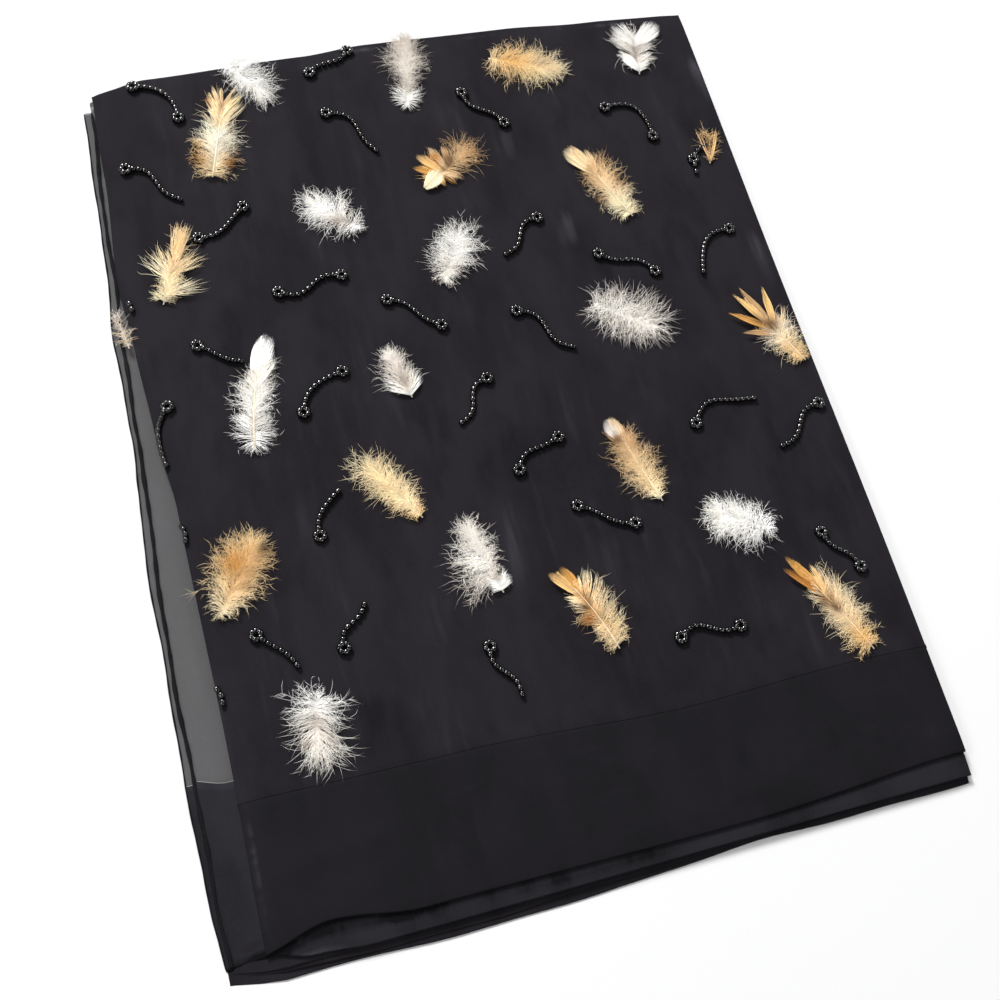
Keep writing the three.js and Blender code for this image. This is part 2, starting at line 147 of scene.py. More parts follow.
STRIP_CREASES = (
    Crease(-162, -60, 92, 60, 3, 0.5), Crease(-166, -110, 88, 40, 2.5, 0.4),
    Crease(-160, -20, 95, 50, 3, 0.4),
    Crease(-165, 140, 96, 60, 2, 0.5), Crease(-164, -185, 90, 50, 4, 0.4), Crease(-160, 60, 94, 40, 2, 0.4),
)


def follow(rows: Sequence[Stop], at: Array) -> Array:
    """Reads an edge between its rows, easing from one to the next.

    Args:
        rows: The edge's stops, from low to high.
        at: Places along the edge, in millimetres.

    Returns:
        How far out the edge lies at each place.
    """
    keys = np.array([row.at for row in rows], float)
    outs = np.array([row.out for row in rows], float)
    low = np.clip(np.searchsorted(keys, at) - 1, 0, len(keys) - 2)
    part = np.clip((at - keys[low]) / (keys[low + 1] - keys[low]), 0, 1)
    return outs[low] + (outs[low + 1] - outs[low]) * part * part * (3 - 2 * part)


def edge(rows: Sequence[Stop], shift: float = 0.0) -> Edge:
    """An edge as a function of place, moved out by a shift."""
    return lambda at: follow(rows, np.asarray(at, float)) + shift


def smooth(value: Array) -> Array:
    """Eases from 0 to 1 over that stretch, flat outside it."""
    part = np.clip(value, 0, 1)
    return part * part * (3 - 2 * part)


def tone(text: str) -> tuple[float, float, float]:
    """A display colour such as "2a2930" as the linear numbers that shaders take."""
    parts = [int(text[i:i + 2], 16) / 255 for i in (0, 2, 4)]
    return tuple(p / 12.92 if p <= 0.04045 else ((p + 0.055) / 1.055) ** 2.4 for p in parts)


# ---------- how the folded stack lies ----------
@dataclass(frozen=True)
class Stack:
    """The heights of the folded plies, one lying on the next."""

    ply: float = 1.2
    gap: float = 0.3
    core_height: float = 4.2
    foot: float = -165.0
    brow: float = -147.0

    def core_top(self, x: Array, y: Array) -> Array:
        """Top of the hidden folds, which thin towards the edges and most at the near end."""
        swell = sum(s.height * np.exp(-((x - s.x) / s.across) ** 2 - ((y - s.y) / s.along) ** 2)
                    for s in SWELLS)
        near = 0.6 + 0.4 * smooth((y + 228) / 24)
        far = 0.8 + 0.2 * smooth((232 - y) / 16)
        right = 0.8 + 0.2 * smooth((176 - x) / 14)
        return (self.core_height + swell) * near * far * right

    def under_bottom(self, x: Array, y: Array) -> Array:
        """Underside of the under ply, which comes down to the table beside the core."""
        return (self.core_top(x, y) + self.gap) * smooth((x - self.foot) / (self.brow - self.foot))

    def under_top(self, x: Array, y: Array) -> Array:
        """Top of the under ply."""
        return self.under_bottom(x, y) + self.ply

    def upper_bottom(self, x: Array, y: Array) -> Array:
        """Underside of the upper ply."""
        return self.under_top(x, y) + self.gap

    def upper_top(self, x: Array, y: Array) -> Array:
        """Top of the upper ply, which carries the trimming."""
        return self.upper_bottom(x, y) + self.ply


STACK = Stack()


def own_axes(row: "Crease | Patch", x: Array, y: Array) -> tuple[Array, Array]:
    """How far points lie along and across a row that has its own place and heading."""
    turn = math.radians(row.heading)
    along = (x - row.x) * math.cos(turn) + (y - row.y) * math.sin(turn)
    return along, -(x - row.x) * math.sin(turn) + (y - row.y) * math.cos(turn)


def creased(base: Height, creases: Iterable[Crease]) -> Height:
    """A height with soft ridges and troughs added to it.

    Args:
        base: The height without creases.
        creases: Ridges and troughs, each with soft sides and ends.

    Returns:
        The creased height.
    """
    rows = tuple(creases)

    def height(x: Array, y: Array) -> Array:
        total = base(x, y)
        for row in rows:
            along, across = own_axes(row, x, y)
            wander = across + 1.6 * np.sin(along / 11 + row.x)
            fade = np.exp(-((2 * along / row.length) ** 4)) * np.exp(-((wander / row.width) ** 2))
            total = total + row.height * fade
        return total

    return height


# ---------- meshes ----------
def make_piece(name: str, points: Array, faces: Sequence[Array], finish: bpy.types.Material,
               soft: bool = True) -> bpy.types.Object:
    """Makes an object at the origin from points in millimetres.

    Args:
        name: The piece's name.
        points: One row of X, Y and Z for each vertex.
        faces: Arrays of faces, each array with faces of one size.
        finish: The piece's material.
        soft: Whether the faces are shaded smooth.

    Returns:
        The new object, linked to the scene.
    """
    mesh = bpy.data.meshes.new(name)
    points = np.array(points, float)
    points[:, 2] = np.maximum(points[:, 2], 0.0)
    mesh.vertices.add(len(points))
    mesh.vertices.foreach_set("co", np.asarray(points, np.float32).ravel() * MM)
    loops = np.concatenate([np.asarray(f, np.int32).ravel() for f in faces])
    sizes = np.concatenate([np.full(len(f), np.asarray(f).shape[1], np.int32) for f in faces])
    starts = np.concatenate([[0], np.cumsum(sizes)[:-1]]).astype(np.int32)
    mesh.loops.add(len(loops))
    mesh.loops.foreach_set("vertex_index", loops)
    mesh.polygons.add(len(sizes))
    mesh.polygons.foreach_set("loop_start", starts)
    mesh.polygons.foreach_set("loop_total", sizes)
    mesh.polygons.foreach_set("use_smooth", np.full(len(sizes), soft))
    mesh.update(calc_edges=True)
    mesh.validate()
    mesh.materials.append(finish)
    piece = bpy.data.objects.new(name, mesh)
    bpy.context.collection.objects.link(piece)
    return piece


def dress(piece: bpy.types.Object, node: str = "") -> None:
    """Rides a piece on the stole and, if given, hides the node it stands for."""
    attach(piece, "root")
    if node:
        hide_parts(node)


class Parts:
    """Points and faces gathered for one piece."""

    def __init__(self) -> None:
        """Starts empty."""
        self.points: list[Array] = []
        self.quads: list[Array] = []
        self.tris: list[Array] = []
        self.count = 0

    def add(self, points: Array, quads: Array | None = None, tris: Array | None = None) -> None:
        """Adds points, with faces numbered from the first of them."""
        self.points.append(points)
        if quads is not None and len(quads):
            self.quads.append(quads + self.count)
        if tris is not None and len(tris):
            self.tris.append(tris + self.count)
        self.count += len(points)

    def piece(self, name: str, finish: bpy.types.Material, soft: bool = True) -> bpy.types.Object:
        """Makes the gathered points and faces one object."""
        faces = [np.concatenate(group) for group in (self.quads, self.tris) if group]
        return make_piece(name, np.concatenate(self.points), faces, finish, soft)


def grid_quads(columns: int, rows: int, start: int = 0) -> Array:
    """Faces of a grid that runs along its columns first, facing up."""
    i, j = np.meshgrid(np.arange(columns - 1), np.arange(rows - 1))
    first = start + (j * columns + i).ravel()
    return np.stack([first, first + 1, first + columns + 1, first + columns], axis=1)


def thicken(surface: Array, thickness: float) -> tuple[Array, Array]:
    """Gives a grid of points a thin wall below it, closed round its rim.

    Args:
        surface: Points as rows by columns by 3, its upper side.
        thickness: The wall, in millimetres.

    Returns:
        The points and the four-sided faces of the closed shell.
    """
    rows, columns = surface.shape[:2]
    across = np.gradient(surface, axis=1)
    along = np.gradient(surface, axis=0)
    normal = np.cross(across, along)
    normal /= np.maximum(np.linalg.norm(normal, axis=2, keepdims=True), 1e-9)
    lower = surface - normal * thickness
    points = np.concatenate([surface.reshape(-1, 3), lower.reshape(-1, 3)])
    top = grid_quads(columns, rows)
    bottom = grid_quads(columns, rows, rows * columns)[:, ::-1]
    loop = np.concatenate([
        np.arange(columns), np.arange(1, rows) * columns + columns - 1,
        (rows - 1) * columns + np.arange(columns - 2, -1, -1), np.arange(rows - 2, 0, -1) * columns,
    ])
    onward = np.roll(loop, -1)
    rim = np.stack([loop + rows * columns, onward + rows * columns, onward, loop], axis=1)
    return points, np.concatenate([top, bottom, rim])


# ---------- cloth ----------
@dataclass(frozen=True)
class Turn:
    """How one edge of a ply ends: turned under with a radius, for a length beneath it."""

    radius: float = 0.0
    beneath: float = 0.0


@dataclass(frozen=True)
class Ply:
    """A stretch of cloth between four edges, as a thin shell."""

    left: Edge
    right: Edge
    near: Edge
    far: Edge
    height: Height
    thickness: float = 0.3
    step_x: float = 2.0
    step_y: float = 3.0
    turn_left: Turn = Turn()
    turn_right: Turn = Turn()
    turn_near: Turn = Turn()
    turn_far: Turn = Turn()

    def _run(self, low: Turn, high: Turn, total: float, step: float) -> Array:
        """Distances across the ply, from before its low edge to past its high one."""
        middle = np.linspace(0, total, max(2, round(total / step) + 1))

        def beyond(turn: Turn) -> Array:
            if not turn.radius:
                return np.zeros(0)
            curl = np.linspace(0, math.pi * turn.radius, 8)[1:]
            flat = curl[-1] + np.linspace(0, turn.beneath, 4)[1:]
            return np.concatenate([curl, flat])

        return np.concatenate([-beyond(low)[::-1], middle, total + beyond(high)])

    @staticmethod
    def _curl(beyond: Array, turn: Turn) -> tuple[Array, Array]:
        """How far out and how far down the cloth lies at a distance past the turn's start."""
        if not turn.radius:
            return np.zeros_like(beyond), np.zeros_like(beyond)
        angle = np.clip(beyond / turn.radius, 0, math.pi)
        under = np.maximum(beyond - math.pi * turn.radius, 0)
        return turn.radius * np.sin(angle) - under, turn.radius * (1 - np.cos(angle))

    def surface(self) -> Array:
        """The ply's upper side as a grid of points, its edges turned under."""
        middle = np.array([0.0])
        width = float((self.right(middle) - self.left(middle))[0])
        width = width - self.turn_left.radius - self.turn_right.radius
        length = float((self.far(middle) - self.near(middle))[0])
        length = length - self.turn_near.radius - self.turn_far.radius
        p, q = np.meshgrid(self._run(self.turn_left, self.turn_right, width, self.step_x),
                           self._run(self.turn_near, self.turn_far, length, self.step_y))
        u, v = np.clip(p / width, 0, 1), np.clip(q / length, 0, 1)
        y = self.near(np.zeros_like(u)) * (1 - v) + self.far(np.zeros_like(u)) * v
        for _ in range(2):
            low, high = self.left(y) + self.turn_left.radius, self.right(y) - self.turn_right.radius
            x = low * (1 - u) + high * u
            low, high = self.near(x) + self.turn_near.radius, self.far(x) - self.turn_far.radius
            y = low * (1 - v) + high * v
        z = self.height(x, y)
        out_left, down_left = self._curl(np.maximum(-p, 0), self.turn_left)
        out_right, down_right = self._curl(np.maximum(p - width, 0), self.turn_right)
        out_near, down_near = self._curl(np.maximum(-q, 0), self.turn_near)
        out_far, down_far = self._curl(np.maximum(q - length, 0), self.turn_far)
        down = np.maximum(np.maximum(down_left, down_right), np.maximum(down_near, down_far))
        return np.stack([x - out_left + out_right, y - out_near + out_far, z - down], axis=2)

    def piece(self, name: str, finish: bpy.types.Material) -> bpy.types.Object:
        """Makes the ply's closed thin shell."""
        points, quads = thicken(self.surface(), self.thickness)
        return make_piece(name, points, [quads], finish)


# ---------- shader sums ----------
def add_node(tree: bpy.types.NodeTree, kind: str, settings: dict[str, object],
             inputs: dict[int | str, object]) -> bpy.types.Node:
    """Adds a node to a tree.

    Args:
        tree: A shader or geometry tree.
        kind: The node's type.
        settings: Its own settings, set first.
        inputs: Values or sockets by socket name or number.

    Returns:
        The new node.
    """
    made = tree.nodes.new(kind)
    for key, value in settings.items():
        setattr(made, key, value)
    for key, value in inputs.items():
        if isinstance(value, bpy.types.NodeSocket):
            tree.links.new(value, made.inputs[key])
        else:
            made.inputs[key].default_value = value
    return made


class Wire:
    """A socket in a material's tree, with the operators that shader sums use."""

    def __init__(self, graph: "Graph", socket: bpy.types.NodeSocket) -> None:
        """Wraps an output socket."""
        self.graph = graph
        self.socket = socket

    def _math(self, operation: str, first: object, second: object) -> "Wire":
        """Adds one Math node."""
        node = self.graph.node("ShaderNodeMath", {"operation": operation}, {0: first, 1: second})
        return node.wire(0)

    def __add__(self, other: object) -> "Wire":
        """This plus other."""
        return self._math("ADD", self, other)

    __radd__ = __add__

    def __sub__(self, other: object) -> "Wire":
        """This minus other."""
        return self._math("SUBTRACT", self, other)

    def __rsub__(self, other: object) -> "Wire":
        """Other minus this."""
        return self._math("SUBTRACT", other, self)

    def __mul__(self, other: object) -> "Wire":
        """This times other."""
        return self._math("MULTIPLY", self, other)

    __rmul__ = __mul__


class Node:
    """A node with its outputs as wires."""

    def __init__(self, graph: "Graph", node: bpy.types.Node) -> None:
        """Wraps a node."""
        self.graph = graph
        self.node = node

    def wire(self, output: int | str = 0) -> Wire:
        """One of the node's outputs."""
        return Wire(self.graph, self.node.outputs[output])


class Graph:
    """A material's node tree."""

    def __init__(self, name: str) -> None:
        """Makes an empty material of that name."""
        self.material = bpy.data.materials.new(name)
        self.material.use_nodes = True
        self.tree = self.material.node_tree
        self.tree.nodes.clear()

    def node(self, kind: str, settings: dict[str, object] | None = None,
             inputs: dict[int | str, object] | None = None) -> Node:
        """Adds a node, with values or wires for its sockets."""
        given = dict(inputs or {})
        for key, value in given.items():
            if isinstance(value, Wire):
                given[key] = value.socket
        return Node(self, add_node(self.tree, kind, settings or {}, given))

    def noise(self, stretch: tuple[float, float, float], scale: float, detail: float = 2.0,
              where: Wire | None = None) -> Wire:
        """Noise on the piece's own coordinates, stretched along the axes.

        Args:
            stretch: How many times finer it is along X, Y and Z.
            scale: Its scale per metre.
            detail: How many finer layers it has.
            where: Other coordinates to read, if not the piece's own.

        Returns:
            The noise, from 0 to 1.
        """
        place = where or self.node("ShaderNodeTexCoord").wire("Object")
        mapped = self.node("ShaderNodeMapping", None, {"Vector": place, "Scale": stretch})
        inputs = {"Vector": mapped.wire(), "Scale": scale, "Detail": detail}
        return self.node("ShaderNodeTexNoise", None, inputs).wire("Fac")

    def mix(self, share: Wire | float, first: object, second: object, blend: str = "MIX") -> Wire:
        """Mixes two colours."""
        settings = {"data_type": "RGBA", "blend_type": blend, "clamp_factor": True}
        return self.node("ShaderNodeMix", settings, {0: share, 6: first, 7: second}).wire(2)

    def steps(self, value: Wire, low: float, high: float) -> Wire:
        """Maps low to 0 and high to 1, easing between."""
        settings = {"interpolation_type": "SMOOTHSTEP"}
        made = self.node("ShaderNodeMapRange", settings, {"Value": value, "From Min": low, "From Max": high})
        return made.wire("Result")

    def finish(self, inputs: dict[str, object]) -> bpy.types.Material:
        """Ends the tree in a Principled shader with those inputs."""
        shader = self.node("ShaderNodeBsdfPrincipled", None, inputs)
        self.node("ShaderNodeOutputMaterial", None, {"Surface": shader.wire("BSDF")})
        return self.material


def paint(text: str) -> tuple[float, float, float, float]:
    """A display colour as a shader's colour."""
    return (*tone(text), 1.0)


# ---------- finishes ----------
@dataclass(frozen=True)
class Silk:
    """Sheer crepe-like silk: a dark ground with painted sheen in lengthwise streaks, a fine grain and a
    weave.
    """

    name: str
    ground: str
    second: str
    # light: the colour of the painted sheen on the streaks, and of the cloth's fine grain.
    light: str
    # Colour of the painted highlights, and of paler places where the layers beneath show through.
    highlight_show_through: str = "65636b"
    # Colour of the painted shade and shadow, and of darker places in the cloth.
    deep_shade: str = "121114"
    # How strong the painted sheen on the lengthwise streaks is.
    streaks: float = 0.5
    opacity: float = 1.0
    lengthwise: bool = True

    def build(self) -> bpy.types.Material:
        """Makes the material."""
        g = Graph(self.name)
        long_way = (1.0, 0.12, 1.0) if self.lengthwise else (0.3, 1.0, 1.0)
        patches = g.steps(g.noise((1.0, 0.6, 1.0), 30.0, 3.0), 0.40, 0.62)
        blotches = g.steps(g.noise((1.3, 0.5, 1.0), 85.0, 4.0), 0.42, 0.66)
        streak = g.steps(g.noise(long_way, 170.0, 4.0), 0.5, 0.78)
        cloud = g.steps(g.noise((1.0, 0.45, 1.0), 42.0, 2.0), 0.45, 0.7)
        grain = g.noise((1.0, 1.0, 1.0), 2300.0, 2.0)
        threads = g.steps(g.noise(long_way, 190.0, 3.0), 0.35, 0.72)
        colour = g.mix(patches * 0.65 + blotches * 0.35, paint(self.ground), paint(self.second))
        # Painted sheen: lighter lengthwise streaks where the wrinkles catch the light.
        colour = g.mix(streak * cloud * self.streaks, colour, paint(self.light))
        colour = g.mix(g.steps(grain, 0.35, 0.75) * 0.2, colour, paint(self.light))
        # The shade attribute is positive for painted highlights and show-through, negative for painted shade.
        lying = g.node("ShaderNodeAttribute", {"attribute_name": "shade"}).wire("Fac")
        # Painted highlights and paler show-through places, broken up by the weave.
        colour = g.mix(g.steps(lying * (threads * 0.6 + 0.4), 0.05, 1.1), colour, paint(self.highlight_show_through))
        # Painted shade and shadow.
        colour = g.mix(g.steps(lying * (-0.6 - blotches * 0.8), 0.0, 0.9), colour, paint(self.deep_shade))
        threads_x = self._threads(g, "X")
        threads_y = self._threads(g, "Y")
        relief = streak * 0.5 + grain * 0.35 + (threads_x + threads_y) * 0.12
        bump = g.node("ShaderNodeBump", None, {"Strength": 0.35, "Distance": 0.0004, "Height": relief})
        inputs = {"Base Color": colour, "Roughness": 0.72, "Normal": bump.wire(),
                  "Specular IOR Level": 0.05}
        if self.opacity < 1:
            inputs["Alpha"] = g.steps(grain, 0.2, 0.8) * 0.08 + threads_x * 0.03 + (self.opacity - 0.05)
        return g.finish(inputs)

    @staticmethod
    def _threads(g: Graph, axis: str) -> Wire:
        """The weave's threads along one axis."""
        place = g.node("ShaderNodeTexCoord").wire("Object")
        settings = {"wave_type": "BANDS", "bands_direction": axis}
        inputs = {"Vector": place, "Scale": 900.0, "Distortion": 0.6, "Detail": 1.0}
        return g.node("ShaderNodeTexWave", settings, inputs).wire("Fac")


@dataclass(frozen=True)
class Plumage:
    """Feather barbs, coloured by each feather's own dye with a fine mottle, with a faint painted glow in that
    colour.
    """

    name: str = "plumage"

    def build(self) -> bpy.types.Material:
        """Makes the material."""
        g = Graph(self.name)
        dye = g.node("ShaderNodeAttribute", {"attribute_name": "dye"}).wire("Color")
        mottle = g.noise((1.0, 1.0, 1.0), 1400.0, 2.0)
        colour = g.mix(g.steps(mottle, 0.3, 0.8) * 0.25, dye, (0.9, 0.86, 0.8, 1.0), "MULTIPLY")
        rough = g.steps(mottle, 0.2, 0.9) * 0.2 + 0.65
        # Painted glow: the barbs emit their own colour faintly, standing in for light that scatters through
        # them.
        return g.finish({"Base Color": colour, "Roughness": rough, "Specular IOR Level": 0.25,
                         "Emission Color": dye, "Emission Strength": 0.23})


@dataclass(frozen=True)
class BlackGlass:
    """Polished black glass with slight flow marks."""

    name: str = "black_glass"

    def build(self) -> bpy.types.Material:
        """Makes the material."""
        g = Graph(self.name)
        flow = g.noise((1.0, 1.0, 1.0), 900.0, 2.0)
        colour = g.mix(g.steps(flow, 0.3, 0.8), (0.0008, 0.0008, 0.001, 1.0), (0.002, 0.002, 0.0025, 1.0))
        rough = g.steps(flow, 0.3, 0.9) * 0.08 + 0.14
        bump = g.node("ShaderNodeBump", None, {"Strength": 0.12, "Distance": 0.0002, "Height": flow})
        return g.finish({"Base Color": colour, "Roughness": rough, "Normal": bump.wire(),
                         "IOR": 1.85})


@dataclass(frozen=True)
class PaleTable:
    """The plain pale surface that the stole lies on."""

    name: str = "pale_table"

    def build(self) -> bpy.types.Material:
        """Makes the material."""
        g = Graph(self.name)
        drift = g.noise((1.0, 1.0, 1.0), 3.0, 1.0)
        colour = g.mix(drift, (0.87, 0.87, 0.87, 1.0), (0.86, 0.86, 0.862, 1.0))
        return g.finish({"Base Color": colour, "Roughness": 0.9, "Specular IOR Level": 0.1})


# ---------- cloth pieces ----------
class Patch(NamedTuple):
    """A soft-edged place where the silk is painted lighter, mostly as a highlight, or darker with painted
    shade if its amount is negative.
    """

    x: float
    y: float
    heading: float
    length: float
    width: float
    amount: float


# Painted light on the upper ply and its end band: positive rows paint a highlight along the fold's ridge,
# thin lighter lines along the far edge and paler places where what lies beneath shows through; negative rows
# paint broad darker places.
PATCHES = (
    Patch(-62, 38, 80, 90, 13, 0.25), Patch(-7, -60, 78, 64, 8, 0.33), Patch(42, -96, 100, 56, 14, 0.25),
    Patch(-129, -105, 84, 40, 9, 0.33), Patch(50, 153, 78, 24, 6, 0.33), Patch(69, 97, 80, 24, 6, 0.41),
    Patch(172, 178, 92, 34, 3.5, 0.61), Patch(167.5, 60, 92, 40, 5, 0.55), Patch(120, 25, 80, 50, 10, 0.19),
    Patch(-51, -95, 80, 30, 9, 0.25), Patch(20, 120, 86, 40, 9, 0.19), Patch(-100, 190, 84, 40, 8, 0.19),
    Patch(100, -120, 95, 40, 12, 0.19), Patch(-153.5, -185, 88, 62, 1.6, 0.39),
    Patch(-155, -110, 92, 70, 1.4, 0.33),
    Patch(-30, -10, 86, 60, 10, -0.33), Patch(0, -20, 76, 50, 14, -0.28), Patch(84, 60, 84, 60, 14, -0.33),
    Patch(-110, 60, 84, 60, 14, -0.28), Patch(30, -125, 86, 40, 12, -0.28), Patch(130, 60, 84, 70, 14, -0.28),
    Patch(-90, -130, 80, 40, 14, -0.28), Patch(-60, 150, 80, 50, 12, -0.28),
    Patch(90, 180, 84, 50, 14, -0.28),
    Patch(140, -50, 84, 50, 14, -0.28), Patch(-60, -190, 84, 44, 16, -0.25),
    Patch(60, -190, 84, 44, 18, -0.25),
    Patch(0, -180, 2, 60, 6, 0.11), Patch(120, -190, 6, 60, 8, 0.11), Patch(-105, -180, 8, 40, 9, 0.11),
    Patch(-90, 223.5, 2, 70, 0.7, 0.7), Patch(-20, 227, 3, 70, 0.7, 0.6), Patch(60, 227.6, 0, 90, 0.7, 0.6),
    Patch(130, 224.5, -2, 70, 0.7, 0.6),
)
# Painted light on the sheer strip: positive rows are soft lengthwise painted highlights, negative rows
# painted shade near the rolled hem.
STRIP_PATCHES = (
    Patch(-161, -104, 93, 60, 2.5, 0.22), Patch(-163, -20, 88, 60, 2.0, 0.3),
    Patch(-160, -70, 91, 40, 1.6, 0.3),
    Patch(-165, 60, 90, 50, 1.6, 0.25), Patch(-163, -185, 86, 50, 3, 0.12),
    Patch(-166, -60, 96, 30, 1.6, -0.5),
    Patch(-165, -10, 84, 24, 1.4, -0.5), Patch(-168, -100, 92, 40, 1.4, -0.5),
)
# Painted light at the near end: negative rows are painted shadow in the groove under the upper band's end and
# along the under band's edge at the corner; positive rows are the painted highlight on the lit ridge of the
# under band's end.
END_PATCHES = (
    Patch(-144, -216.5, 12, 36, 2.4, -1.6), Patch(-110, -214.5, -6, 50, 3.0, -1.5),
    Patch(-60, -218, 0, 60, 2.0, -1.2),
    Patch(0, -219, 0, 80, 1.6, -0.9), Patch(100, -216, 3, 90, 1.4, -0.7),
    Patch(-165, -218.7, 3, 26, 0.9, -1.4),
    Patch(-132, -221.8, 1, 36, 1.3, 0.65), Patch(-96, -221.9, 0, 44, 1.5, 0.8),
    Patch(-50, -221.9, 0, 50, 1.3, 0.65),
    Patch(40, -220.6, 1, 70, 1.1, 0.35), Patch(110, -219, 2, 70, 1.1, 0.3),
)


def shade(piece: bpy.types.Object, patches: Iterable[Patch]) -> None:
    """Paints the piece's painted highlights and shade into its "shade" attribute.

    Args:
        piece: A cloth piece, in metres.
        patches: The places.
    """
    mesh = piece.data
    points = np.empty(len(mesh.vertices) * 3, np.float32)
    mesh.vertices.foreach_get("co", points)
    x, y = points.reshape(-1, 3)[:, 0] / MM, points.reshape(-1, 3)[:, 1] / MM
    total = np.zeros(len(x))
    for row in patches:
        along, across = own_axes(row, x, y)
        total += row.amount * np.exp(-((2 * along / row.length) ** 4) - (across / row.width) ** 2)
    layer = mesh.attributes.new("shade", "FLOAT", "POINT")
    layer.data.foreach_set("value", total.astype(np.float32))


@dataclass(frozen=True)
class Fold:
    """One of the stacked folds under the plies that show."""

    low: float
    high: float
    side: float
    near: float
    wave: float
    phase: float


@dataclass(frozen=True)
class HiddenFolds:
    """The folded layers that lie under the upper and under plies."""

    left: float = -150.0
    right: float = 173.0
    length: float = 455.0
    setback: float = 2.5
    rim_steps: int = 6
    step: float = 7.0
    corner_reach: float = 23.0
    corner_from: float = -203.0
    corner_fade: float = 14.0
    room: float = 0.22
    folds: tuple[Fold, ...] = (
        Fold(0.0, 0.35, 0.2, 0.4, 0.9, 0.3),
        Fold(0.33, 0.68, 1.1, 3.0, 1.1, 1.9),
        Fold(0.66, 1.0, 1.8, 5.2, 1.0, 4.1),
    )

    def _places(self, total: float, rim: float) -> Array:
        """Distances across a fold, closest together at its rims."""
        bend = rim * (1 - np.cos(np.linspace(0, math.pi / 2, self.rim_steps + 1)))
        middle = np.linspace(rim, total - rim, max(2, round((total - 2 * rim) / self.step)))
        return np.concatenate([bend[:-1], middle, (total - bend)[::-1][1:]])

    def _add(self, parts: Parts, fold: Fold) -> None:
        """Adds one fold as a closed, flat pillow with round rims."""
        rim = (fold.high - fold.low) * STACK.core_height * 0.62
        across = self._places(self.right - self.left, rim)
        along = self._places(self.length, rim)
        p, q = np.meshgrid(across, along)
        x = self.left + fold.side + p / across[-1] * (self.right - self.left - 1.4 * fold.side)
        x = x + fold.wave * 0.3 * np.sin(q / 31 + fold.phase) * (p / across[-1])
        low = follow(NEAR_EDGE, x) + fold.near
        ruffle = np.sin(x / 23 + fold.phase) + 0.6 * np.sin(x / 9.5 + 2 * fold.phase)
        low = low + fold.wave * ruffle * 0.5 + 0.6
        high = follow(FAR_EDGE, x) - self.setback - 0.6 * fold.side
        v = q / along[-1]
        y = low * (1 - v) + high * v
        round_off = 1.0
        for far_off in (p, across[-1] - p, q, along[-1] - q):
            part = np.clip(far_off / rim, 0, 1)
            round_off = round_off * np.sqrt(1 - (1 - part) ** 2)
        corner = smooth((self.corner_from - y) / self.corner_fade) * (1 - p / across[-1]) ** 8
        shifted = x - self.corner_reach * corner
        y = y + (follow(NEAR_EDGE, shifted) - follow(NEAR_EDGE, x)) * (1 - v)
        x = shifted
        top = np.minimum(STACK.core_top(x, y), STACK.under_bottom(x, y) + self.room)
        middle = (fold.low + fold.high) / 2 * top + 0.05
        half = (fold.high - fold.low) / 2 * top * round_off
        ripple = 0.12 * np.sin(x / 17 + fold.phase) * round_off
        upper = np.stack([x, y, middle + half + ripple], axis=2)
        lower = np.stack([x, y, np.maximum(middle - half, 0.02)], axis=2)
        rows, columns = x.shape
        count = rows * columns
        top_faces = grid_quads(columns, rows)
        bottom_faces = top_faces[:, ::-1] + count
        number = np.arange(count * 2)
        i, j = np.meshgrid(np.arange(columns), np.arange(rows))
        rim_mask = ((i == 0) | (i == columns - 1) | (j == 0) | (j == rows - 1)).ravel()
        number[count:][rim_mask] = np.arange(count)[rim_mask]
        points = np.concatenate([upper.reshape(-1, 3), lower.reshape(-1, 3)])
        used, packed = np.unique(number, return_inverse=True)
        parts.add(points[used], packed[np.concatenate([top_faces, bottom_faces])])

    def build(self, finish: bpy.types.Material) -> list[bpy.types.Object]:
        """Makes the folds one piece."""
        parts = Parts()
        for fold in self.folds:
            self._add(parts, fold)
        piece = parts.piece("silk_hidden_folds", finish)
        shade(piece, ())
        dress(piece, "hidden_folds")
        return [piece]


def tube(centre: Array, wide: Array, high: Array, sides: int = 10) -> tuple[Array, Array]:
    """A closed tube along a line.

    Args:
        centre: Points along its middle, in millimetres.
        wide: Its half width at each point, level with the table.
        high: Its half height at each point.
        sides: How many sides it has.

    Returns:
        The points, the last two in the middles of its ends, and the four-sided faces.
    """
    heading = np.gradient(centre, axis=0)
    heading /= np.linalg.norm(heading, axis=1, keepdims=True)
    side = np.cross(heading, [0.0, 0.0, 1.0])
    side /= np.linalg.norm(side, axis=1, keepdims=True)
    angle = np.linspace(0, 2 * math.pi, sides, endpoint=False)
    rings = (centre[:, None] + side[:, None] * (wide[:, None] * np.cos(angle))[..., None]
             + np.array([0.0, 0.0, 1.0]) * (high[:, None] * np.sin(angle))[..., None])
    count = len(centre)
    faces = []
    for ring in range(count - 1):
        a = ring * sides + np.arange(sides)
        b = ring * sides + (np.arange(sides) + 1) % sides
        faces.append(np.stack([a, b, b + sides, a + sides], axis=1))
    points = np.concatenate([rings.reshape(-1, 3), centre[:1], centre[-1:]])
    return points, np.concatenate(faces)


def cap_fans(count: int, sides: int) -> Array:
    """The triangles that close a tube's two ends on its last two points."""
    start, end = count * sides, count * sides + 1
    a = np.arange(sides)
    b = (a + 1) % sides
    first = np.stack([b, a, np.full(sides, start)], axis=1)
    last = (count - 1) * sides
    second = np.stack([last + a, last + b, np.full(sides, end)], axis=1)
    return np.concatenate([first, second])


